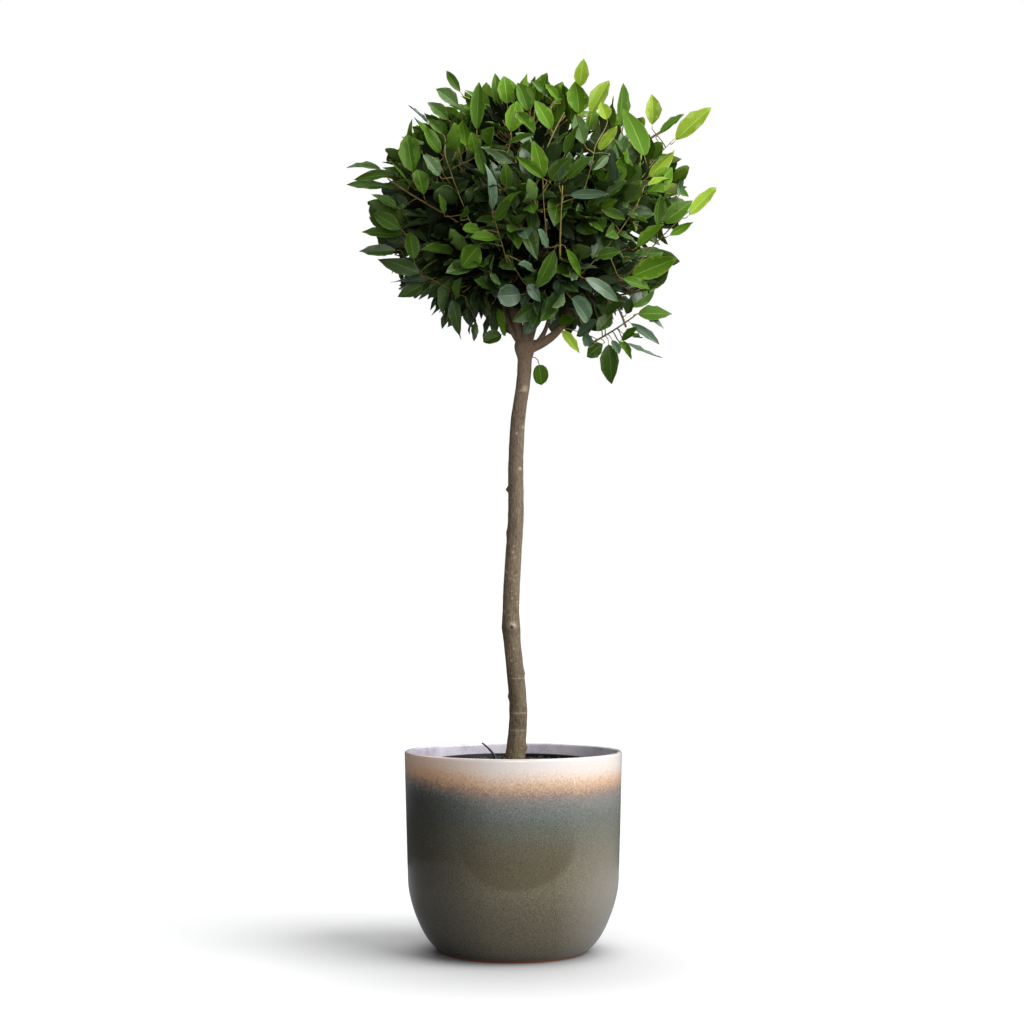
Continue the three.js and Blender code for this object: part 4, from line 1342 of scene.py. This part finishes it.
# %% Free leaves
VIEW_DISTANCE = 3200  # of the camera, in millimetres
VIEW_HEIGHT = 548
RIM_SHARE = 0.96


def from_front(points):
    """Where points are seen from the front, by the camera."""
    nearer = VIEW_DISTANCE / (VIEW_DISTANCE + points[:, 1])
    return np.stack([points[:, 0] * nearer, (points[:, 2] - VIEW_HEIGHT) * nearer], axis=1)


guarded_seen = from_front(guarded)


def covers_placed(points):
    """Whether points run into the listed leaves, or stand in front of them."""
    apart = np.linalg.norm(points[:, None] - guarded[None, :, :3], axis=2)
    if (apart < 0.5 * guarded[:, 3] + 3).any():
        return True
    shown = np.linalg.norm(from_front(points)[:, None] - guarded_seen[None], axis=2)
    in_front = points[:, 1][:, None] < guarded[:, 1] + 6
    return (in_front & (shown < guarded[:, 3] + 5)).any()


def beyond_rim(points):
    """Whether points show outside the rim that the free leaves keep to from the front."""
    seen = (points[:, [0, 2]] - HEART[[0, 2]]) / HALF[[0, 2]]
    return np.linalg.norm(seen, axis=1).max() > RIM_SHARE


for grown in crown:
    for path, lead, bare, spray in grown["leafy"]:
        grown["spray"] = spray
        leaf_twig(grown["mass"], grown, path, lead, bare, grown["random"])
print("leaves:", sum(len(grown["leaves"]) for grown in crown))

# %% [markdown]
# ## Colours by spray
#
# New shoots at the top are bright. Leaves on the lamp's right side are painted lighter, and
# those inside and low down darker, as painted light and shade; low down some are bluish, their
# own grey-green with a painted sheen. Most leaves take the kind of their spray, drawn by its
# height, side and depth, and the outermost are drawn one by one. The kinds are plain colours:
# a pattern over the whole crown would not survive being joined and exported, and wouldn't look any
# more natural.

# %% Kinds of leaf and where they grow
# Young leaves at the top are matt, and old ones below are waxy and mirror the pale room.
LEAF_KINDS = {  # blade, underside, rib and margin, and how waxy
    "lime": ((134, 164, 40), (156, 176, 84), (174, 192, 92), 0.0),
    "spring": ((80, 120, 10), (106, 138, 40), (130, 158, 54), 0.0),
    "fresh": ((66, 102, 8), (88, 120, 36), (110, 138, 48), 0.01),
    "mature": ((64, 97, 20), (90, 116, 52), (108, 132, 62), 0.05),
    "dark": ((60, 90, 30), (88, 112, 62), (104, 128, 72), 0.17),
    "old": ((36, 60, 16), (62, 84, 40), (80, 102, 54), 0.2),
    "painted_inner_shade": ((18, 28, 6), (28, 40, 12), (46, 60, 24), 0.0),
    "bluish_sheen": ((76, 103, 74), (96, 122, 90), (122, 146, 104), 0.18),
}
SURE_OUTSIDE = 0.8  # beyond this share of the crown's reach a leaf has its own kind


def kind_of_spray(middle, random):
    """The likely kind at a place: brighter high up and on the lamp's right, darker low and inside,
    partly as painted light and shade.
    """
    out = (middle - HEART) / HALF
    depth = np.linalg.norm(out)
    # Leaves deep inside the crown are painted very dark, as painted shade.
    if depth < PAINTED_SHADE_DEPTH:
        return "painted_inner_shade"
    if depth < PAINTED_DIM_DEPTH:
        return random.choice(["painted_inner_shade", "old", "dark"], p=[0.1, 0.35, 0.55])
    # Young growth lightens the top; the lamp's right side is painted lighter and the low side
    # darker, as painted light and shade.
    lit_and_young = 0.75 * out[2] + 0.25 * out[0] + 0.9 * (depth - 0.8) + random.normal(0, 0.18)
    if lit_and_young > 0.45 and out[0] > 0.45 and random.uniform() < 0.4:
        return "lime"
    if lit_and_young > 0.52:
        return "spring"
    if lit_and_young > 0.22:
        return "fresh"
    # Some low leaves are bluish: their own grey-green with a painted sheen of the pale room.
    if random.uniform() < (0.14 if out[0] > -0.3 else 0.06):
        return "bluish_sheen"
    if random.uniform() < 0.25:
        return "old"
    return "mature" if lit_and_young > -0.4 else "dark"


colour_rng = np.random.default_rng(77)
leaves_of_kind = {kind: [] for kind in LEAF_KINDS}
for grown in crown:
    sprays = np.array([leaf[4] for leaf in grown["leaves"]])
    middles = np.array(grown["middles"])
    for spray in np.unique(sprays):
        members = np.flatnonzero(sprays == spray)
        kind = kind_of_spray(middles[members].mean(axis=0), colour_rng)
        for member in members:
            depth = np.linalg.norm((middles[member] - HEART) / HALF)
            own = kind
            if depth < PAINTED_SHADE_DEPTH or depth > SURE_OUTSIDE or colour_rng.uniform() < 0.35:
                own = kind_of_spray(middles[member], colour_rng)
            leaves_of_kind[own].append(grown["leaves"][member][:6])
for kind, leaf in placed_leaves:
    leaves_of_kind[kind].append(leaf)
print({kind: len(leaves) for kind, leaves in leaves_of_kind.items()})

# %% [markdown]
# ## The leaf blade
#
# A bay leaf is a pointed ellipse, leathery, with a pale rib, a thin pale margin that waves
# up and down, and a stalk of its own. A card with a picture is the usual trick, but it
# goes flat in close view and is lost in export. Here each blade is a closed shell of a
# few dozen faces: five strips above, so that rib and margin have their own, two below,
# and all the leaves of a kind are computed as one array.

# %% Blades as one array
STATIONS = np.array([0, 0.06, 0.18, 0.32, 0.47, 0.61, 0.75, 0.88, 1.0])
STRIPS = np.array([-1, -0.93, -0.042, 0.042, 0.93, 1])
PER_ROW = len(STRIPS) + 1  # the last one is the rib's underside
BLADE_THICKNESS = 0.45


def leaf_outline(s, rise, close):
    """Half the width at a share s of the length: rising as s^rise and closing as
    (1-s)^close, scaled to 1 at its widest, with a hair of width kept at both ends. A
    power near 1 makes a point, and of 0.5 a round end."""
    widest = rise / (rise + close)
    peak = widest**rise * (1 - widest) ** close
    return np.maximum(s**rise * (1 - s) ** close / peak, 0.025)


def blade_points(roots, along, across, lengths, widths, rounded, random):
    """The points of every blade, leaf by leaf, row by row from its stalk to its tip. A
    width of 0 leaves it to the rule."""
    each = (len(roots), 1, 1)
    normal = np.cross(along, across)
    lengths, widths, rounded = (column.reshape(-1, 1, 1) for column in (lengths, widths, rounded))
    own = LEAF_WIDTH * random.uniform(0.8, 1.2, each) * (lengths / LEAF_LENGTH) ** 0.6
    width = np.where(widths > 0, widths, own)
    rise = np.where(rounded > 0, 0.5, random.uniform(0.7, 0.95, each))
    close = np.where(rounded > 0, 0.5, random.uniform(0.8, 1.05, each))
    fold = random.uniform(0.12, 0.75, each)
    droop = random.normal(0.08, 0.15, each)
    twist = random.normal(0, 0.55, each)
    sway = random.normal(0, 0.07, each)
    wave = random.uniform(0.5, 2.0, each)
    phase = random.uniform(0, 2 * np.pi, each)
    s = STATIONS[None, :, None]
    t = np.concatenate([STRIPS, [0]])[None, None, :]
    half = 0.5 * width * leaf_outline(s, rise, close)
    # The margin waves up and down, and in and out from one station to the next.
    ripple = np.sin(2 * np.pi * 2.6 * s + phase + 1.9 * np.sign(t))
    zigzag = np.where(np.arange(len(STATIONS)) % 2, 1, -1)[None, :, None] * np.sign(t)
    side = t * half * (1 + 0.045 * np.abs(t) * zigzag * np.sin(phase) * (rounded == 0))
    lift = fold * half * np.abs(t) ** 1.3
    lift = lift + wave * t**2 * (0.9 * ripple + 0.3 * zigzag) * np.sin(np.pi * s) ** 0.5
    under = np.zeros_like(t)
    under[..., -1] = -1
    lift = lift + BLADE_THICKNESS * under
    blade = (1 - STALK_SHARE) * lengths
    x = STALK_SHARE * lengths + s * blade + 0 * t
    drop = -droop * blade * s**2
    turned_side = side * np.cos(twist * s) - lift * np.sin(twist * s) + sway * blade * s**2
    turned_lift = side * np.sin(twist * s) + lift * np.cos(twist * s) + drop
    points = roots[:, None, None]
    for amount, axis in ((x, along), (turned_side, across), (turned_lift, normal)):
        points = points + amount[..., None] * axis[:, None, None]
    return points.reshape(-1, 3)


def blade_faces(count):
    """Faces of every blade and the material of each: 0 above, 1 below, 2 rib or margin."""
    row = np.arange(len(STATIONS) - 1)[:, None] * PER_ROW
    column = np.arange(len(STRIPS) - 1)[None]
    here = row + column
    above = np.stack([here, here + PER_ROW, here + PER_ROW + 1, here + 1], -1)
    first, last, middle = row[:, 0], row[:, 0] + len(STRIPS) - 1, row[:, 0] + PER_ROW - 1
    left = np.stack([first, middle, middle + PER_ROW, first + PER_ROW], -1)
    right = np.stack([middle, last, last + PER_ROW, middle + PER_ROW], -1)
    one = np.concatenate([above.reshape(-1, 4), left, right])
    kinds = np.tile([2, 0, 2, 0, 2], len(STATIONS) - 1).tolist() + [1] * (2 * (len(STATIONS) - 1))
    top = (len(STATIONS) - 1) * PER_ROW
    tip = [top + strip for strip in reversed(range(PER_ROW - 1))] + [top + PER_ROW - 1]
    ends = [list(range(PER_ROW)), tip]
    size = len(STATIONS) * PER_ROW
    faces = (one[None] + np.arange(count)[:, None, None] * size).reshape(-1, 4).tolist()
    faces += [[corner + leaf * size for corner in end] for leaf in range(count) for end in ends]
    return faces, kinds * count + [1, 1] * count


# %% [markdown]
# ## Leaf materials
#
# The blade is leathery: a soft broad gloss, a waxy coat, and side veins that show only as
# relief. The veins are a wave across the blade that slants away from the rib, read from
# the leaf's own UV map, in one group that all the leaf materials place.

# %% Vein relief, and one set of materials a kind
VEINS = 11  # pairs of side veins along a leaf
veins, given, result = new_group(
    "leaf_veins", [("Strength", "NodeSocketFloat", 0.4)], [("Normal", "NodeSocketVector")]
)
place = add_node(veins, "UVMap", uv_map="blade").outputs[0]
split = add_node(veins, "SeparateXYZ", {0: place})
off_rib = maths(veins, "ABSOLUTE", maths(veins, "SUBTRACT", split.outputs["Y"], 0.5))
slanted = scaled(veins, off_rib, -0.42, split.outputs["X"])
wave = maths(veins, "SINE", times(veins, slanted, 2 * math.pi * VEINS))
ridge = maths(veins, "POWER", scaled(veins, wave, 0.5, 0.5), 6.0)
relief = {"Height": ridge, "Distance": 0.0006, "Strength": given.outputs["Strength"]}
feed(veins, result, {"Normal": add_node(veins, "Bump", relief).outputs[0]})


def leaf_material(name, colour, roughness, vein_strength, coat):
    """A plain leaf colour with a waxy coat and the veins' relief."""
    material, tree, shader = new_material(name)
    relief = add_node(tree, "Group", {"Strength": vein_strength}, node_tree=veins)
    looks = {
        "Base Color": srgb(*colour),
        "Roughness": roughness,
        "Specular IOR Level": 0.16 + 2.0 * coat,
        "Coat Weight": coat,
        "Coat Roughness": 0.3,
        "Normal": relief.outputs["Normal"],
    }
    feed(tree, shader, looks)
    return material


def add_leaves(kind, leaves, seed):
    """All the leaves of a kind as one piece, with sharp rims and a UV map along each."""
    columns = (np.array(column, float) for column in zip(*leaves))
    points = blade_points(*columns, np.random.default_rng(seed))
    faces, kinds = blade_faces(len(leaves))
    blade, below, rib, coat = LEAF_KINDS[kind]
    materials = [
        leaf_material(kind + "_blade", blade, 0.6 if coat < 0.05 else 0.42, 0.2, coat),
        leaf_material(kind + "_underside", below, 0.6, 0.12, coat),
        leaf_material(kind + "_rib", rib, 0.5, 0.0, coat),
    ]
    mesh = add_mesh("leaves_" + kind, points, faces, materials).data
    mesh.polygons.foreach_set("material_index", np.array(kinds))
    ends = np.zeros(2 * len(mesh.edges), int)
    mesh.edges.foreach_get("vertices", ends)
    ends = ends.reshape(-1, 2)
    column = ends % PER_ROW
    lengthwise = np.abs(ends[:, 0] - ends[:, 1]) == PER_ROW
    rim = np.isin(column, [0, PER_ROW - 2]).all(axis=1) & lengthwise
    mesh.attributes.new("sharp_edge", "BOOLEAN", "EDGE").data.foreach_set("value", rim)
    corner_vertex = np.zeros(len(mesh.loops), int)
    mesh.loops.foreach_get("vertex_index", corner_vertex)
    along_leaf = np.tile(np.repeat(STATIONS, PER_ROW), len(leaves))
    across_leaf = np.tile(np.concatenate([STRIPS, [0]]) * 0.5 + 0.5, len(leaves) * len(STATIONS))
    flat = np.stack([along_leaf, across_leaf], axis=1)[corner_vertex]
    mesh.uv_layers.new(name="blade").data.foreach_set("uv", flat.ravel())


# %% Every kind's leaves
for index, (kind, leaves) in enumerate(leaves_of_kind.items()):
    if leaves:
        add_leaves(kind, leaves, 300 + index)

# %% [markdown]
# ## Twigs and leaf stalks
#
# Older twigs are grey-brown, young ones orange-brown going to green, and the leaf stalks
# are a warm tan. They are tubes of three to eight sides, joined by kind. The masses' solids
# are replaced by the first of these, since the twigs are what grows on from the boughs.

# %% Twigs by age
twig_kinds = {"own_stem": [], "twig": [], "fine": []}
for kind, path, (thick, thin) in sum((grown["twigs"] for grown in crown), []) + ties:
    sides = {"own_stem": 8, "twig": 5, "fine": 4}[kind]
    radii = np.linspace(thick, thin, len(path))
    twig_kinds[kind].append((tube(path, radii, sides), capped(len(path), sides)))


def twig_material(name, low, high):
    """A twig's two tones in streaks along it."""
    material, tree, shader = new_material(name)
    streaks = mottled(tree, 60.0, 400.0, 0.4)
    tone = tones(tree, streaks.outputs["Mask"], (0.38, *low), (0.62, *high))
    feed(tree, shader, {"Base Color": tone, "Roughness": 0.65})
    bump(tree, shader, streaks.outputs["Fine mask"], 0.0003)
    return material


foliage_nodes = ["foliage_" + mass["name"] for mass in MASSES]
twig_looks = {
    "own_stem": ("old_twigs", "old_twig", (88, 76, 56), (128, 112, 84), foliage_nodes),
    "twig": ("young_twigs", "young_twig", (96, 80, 42), (140, 116, 64), ()),
    "fine": ("new_shoots", "new_shoot", (98, 92, 36), (142, 126, 60), ()),
}
for kind, (piece_name, material_name, low, high, stands_for) in twig_looks.items():
    points, faces = joined(twig_kinds[kind])
    look = twig_material(material_name, low, high)
    add_mesh(piece_name, points, faces, [look], stands_for)

# %% Leaf stalks
all_leaves = [leaf for leaves in leaves_of_kind.values() for leaf in leaves]
stalks = []
for root, along, across, length, width, rounded in all_leaves:
    path = root + np.outer([0, 0.5, 1.05], STALK_SHARE * length * along)
    stalks.append((tube(path, [0.75, 0.62, 0.45], 3), capped(3, 3)))
stalk_points, stalk_faces = joined(stalks)
stalk_look = twig_material("leaf_stalk", (150, 96, 52), (172, 140, 84))
add_mesh("leaf_stalks", stalk_points, stalk_faces, [stalk_look])

# %% [markdown]
# ## Small things
#
# One round leaf hangs from the stem just under the fork, and a dry stalk leans out of the
# compost. They are made as the other leaves and twigs are, each from its own few numbers.

# %% The lone leaf and the dry stalk
LONE_HEIGHT = 608
LONE_AZIMUTH = -12
LONE_STALK = 22
LONE_LENGTH, LONE_WIDTH = 30, 22
lone_out = heading(LONE_AZIMUTH, 0)
lone_root = stem_centre(LONE_HEIGHT)[0] + 9.5 * lone_out
lone_path = bezier(
    [
        lone_root,
        lone_root + 0.5 * LONE_STALK * lone_out,
        lone_root + 0.55 * LONE_STALK * lone_out - 0.5 * LONE_STALK * UP,
    ],
    np.linspace(0, 1, 8),
)
lone_along = unit(lone_path[-1] - lone_path[-2] + np.array([0.2, 0, -0.8]))
lone_across = unit(np.cross([0.1, -1, 0.15], lone_along))
lone_rows = blade_points(
    lone_path[-2][None],
    lone_along[None],
    lone_across[None],
    np.array([LONE_LENGTH / (1 - STALK_SHARE)]),
    np.array([LONE_WIDTH + 1.5]),
    np.array([1]),
    np.random.default_rng(5),
)
lone_faces, lone_kinds = blade_faces(1)
lone_stalk = (tube(lone_path, 0.8, 6), capped(8, 6))
lone_points, lone_faces = joined([(lone_rows, lone_faces), lone_stalk])
lone_materials = [bpy.data.materials["fresh_" + part] for part in ("blade", "underside", "rib")]
lone_materials.append(bpy.data.materials["leaf_stalk"])
lone = add_mesh(
    "leaf_on_stem", lone_points, lone_faces, lone_materials, ["stem_leaf"]
)
lone_kinds = np.array(lone_kinds + [3] * len(lone_stalk[1]))
lone.data.polygons.foreach_set("material_index", lone_kinds)

DRY_POINTS = [(-26, 60, -3), (-28, 62, 7), (-36, 74, 15), (-48, 92, 22.5)]
dry_path = even_steps(bezier(np.array(DRY_POINTS) + [0, 0, GROUND], np.linspace(0, 1, 40)), 24)
dry_radii = np.linspace(1.8, 1.0, 24) * (1 + 0.25 * np.abs(np.sin(np.linspace(0, 9, 24))))
dry_look = twig_material("dry_wood", (4, 3, 3), (14, 11, 9))
dry_points = tube(dry_path, dry_radii, 8)
add_mesh("dry_wood_stalk", dry_points, capped(24, 8), [dry_look], ["dry_stalk"])

# %% [markdown]
# ## The studio
#
# A pale floor under a pale sky, a large soft lamp high on the right as the sun would be,
# one behind that lights the leaves' edges, and weak ones from the front and the left. The
# camera stands level at the height of the planter and stem's middle, and its lens is
# shifted up a little instead of the camera being tilted, so that upright things stay
# upright.

# %% Floor, light and camera
scene = bpy.context.scene
scene.view_settings.view_transform = "Standard"
scene.view_settings.look = "None"

floor_look, tree, shader = new_material("studio_floor")
# Seen directly, it is white paper with a painted shadow close round the foot, and painted light a
# little further out that fades the lamps' shadow.
distance = add_node(tree, "VectorMath", {0: own_place(tree)}, operation="LENGTH")
distance = distance.outputs["Value"]
WHITE = 0.565  # paper that renders as just white under the lamps
PAINTED_FOOT_SHADE = [  # metres from the foot's centre, and the paper's share of WHITE there
    (0.105, 0.34), (0.125, 0.52), (0.15, 0.74), (0.18, 0.87),
    (0.225, 0.92), (0.3, 0.98), (0.39, 1.06), (0.55, 1.12),
]
SPREAD = 1.5  # of the ramp's positions, which end at 1
wear_and_painted_shade = [(SPREAD * reach, WHITE * grey) for reach, grey in PAINTED_FOOT_SHADE]
wear_and_painted_shade = greys(tree, times(tree, distance, SPREAD), wear_and_painted_shade)
feed(tree, shader, {"Base Color": wear_and_painted_shade, "Roughness": 0.9})
# It gives back little light, like a floor far below the plant.
sheet = times(tree, distance, 0.25)
paper = greys(
    tree, sheet, [(0.0, 0.2), (0.225, 0.19), (0.25, 0.04), (0.42, 0.04), (0.6, 0.1)]
)
dim = add_node(tree, "BsdfDiffuse", {"Color": paper})
seen_directly = add_node(tree, "LightPath").outputs["Is Camera Ray"]
choice = add_node(tree, "MixShader", {0: seen_directly, 1: dim.outputs[0], 2: shader.outputs[0]})
feed(tree, tree.nodes["Material Output"], {"Surface": choice.outputs[0]})
FLOOR_REACH = 60.0
floor_corners = [(x, y, 0) for x, y in ((-1, -1), (1, -1), (1, 1), (-1, 1))]
floor_mesh = bpy.data.meshes.new("studio_floor")
floor_mesh.from_pydata((np.array(floor_corners) * FLOOR_REACH).tolist(), [], [(0, 1, 2, 3)])
floor_mesh.materials.append(floor_look)
floor = bpy.data.objects.new("studio_floor", floor_mesh)
scene.collection.objects.link(floor)

# The room is bright on the right and above, and falls off to the left and below.
BRIGHT_SIDE = (0.78, -0.30, 0.55)
ROOM_DARK, ROOM_BRIGHT = 0.04, 0.55
world = bpy.data.worlds.new("studio")
world.use_nodes = True
scene.world = world
tree = world.node_tree
room = tree.nodes["Background"]
outward = add_node(tree, "TexCoord").outputs["Generated"]
facing = add_node(tree, "VectorMath", {0: outward, 1: BRIGHT_SIDE}, operation="DOT_PRODUCT")
level = mapped(tree, facing.outputs["Value"], -0.5, 1.0, ROOM_DARK, ROOM_BRIGHT)
feed(tree, room, {"Color": (0.96, 0.98, 1, 1), "Strength": level})
white = add_node(tree, "Background", {"Color": (1, 1, 1, 1), "Strength": 1.0})
seen_directly = add_node(tree, "LightPath").outputs["Is Camera Ray"]
choice = add_node(tree, "MixShader", {0: seen_directly, 1: room.outputs[0], 2: white.outputs[0]})
feed(tree, tree.nodes["World Output"], {"Surface": choice.outputs[0]})


def add_lamp(name, kind, azimuth, elevation, distance, power, softness):
    """A soft lamp that looks at the plant from an azimuth, elevation and distance. Its
    softness is an angle in degrees for a sun and a width in metres for an area."""
    lamp = bpy.data.lights.new(name, kind)
    lamp.energy = power
    if kind == "SUN":
        lamp.angle = math.radians(softness)
    else:
        lamp.size = softness
    holder = bpy.data.objects.new(name, lamp)
    scene.collection.objects.link(holder)
    holder.location = distance * heading(azimuth, elevation) + np.array([0, 0, 0.6])
    holder.rotation_euler = (math.radians(90 - elevation), 0, math.radians(azimuth + 90))


add_lamp("key", "SUN", -26, 38, 4, 4.4, 55)
add_lamp("back", "SUN", 85, 56, 4, 2.2, 70)
add_lamp("front_fill", "AREA", -88, 12, 3.6, 40, 1.6)
add_lamp("left_fill", "AREA", -150, 10, 3.4, 4, 1.6)

camera_data = bpy.data.cameras.new("camera")
camera_data.lens = 75
camera_data.sensor_width = 36
camera_data.shift_y = 0.0715
camera = bpy.data.objects.new("camera", camera_data)
scene.collection.objects.link(camera)
camera.location = (-0.002, -VIEW_DISTANCE * MM, VIEW_HEIGHT * MM)
camera.rotation_euler = (math.radians(90), 0, 0)
scene.camera = camera
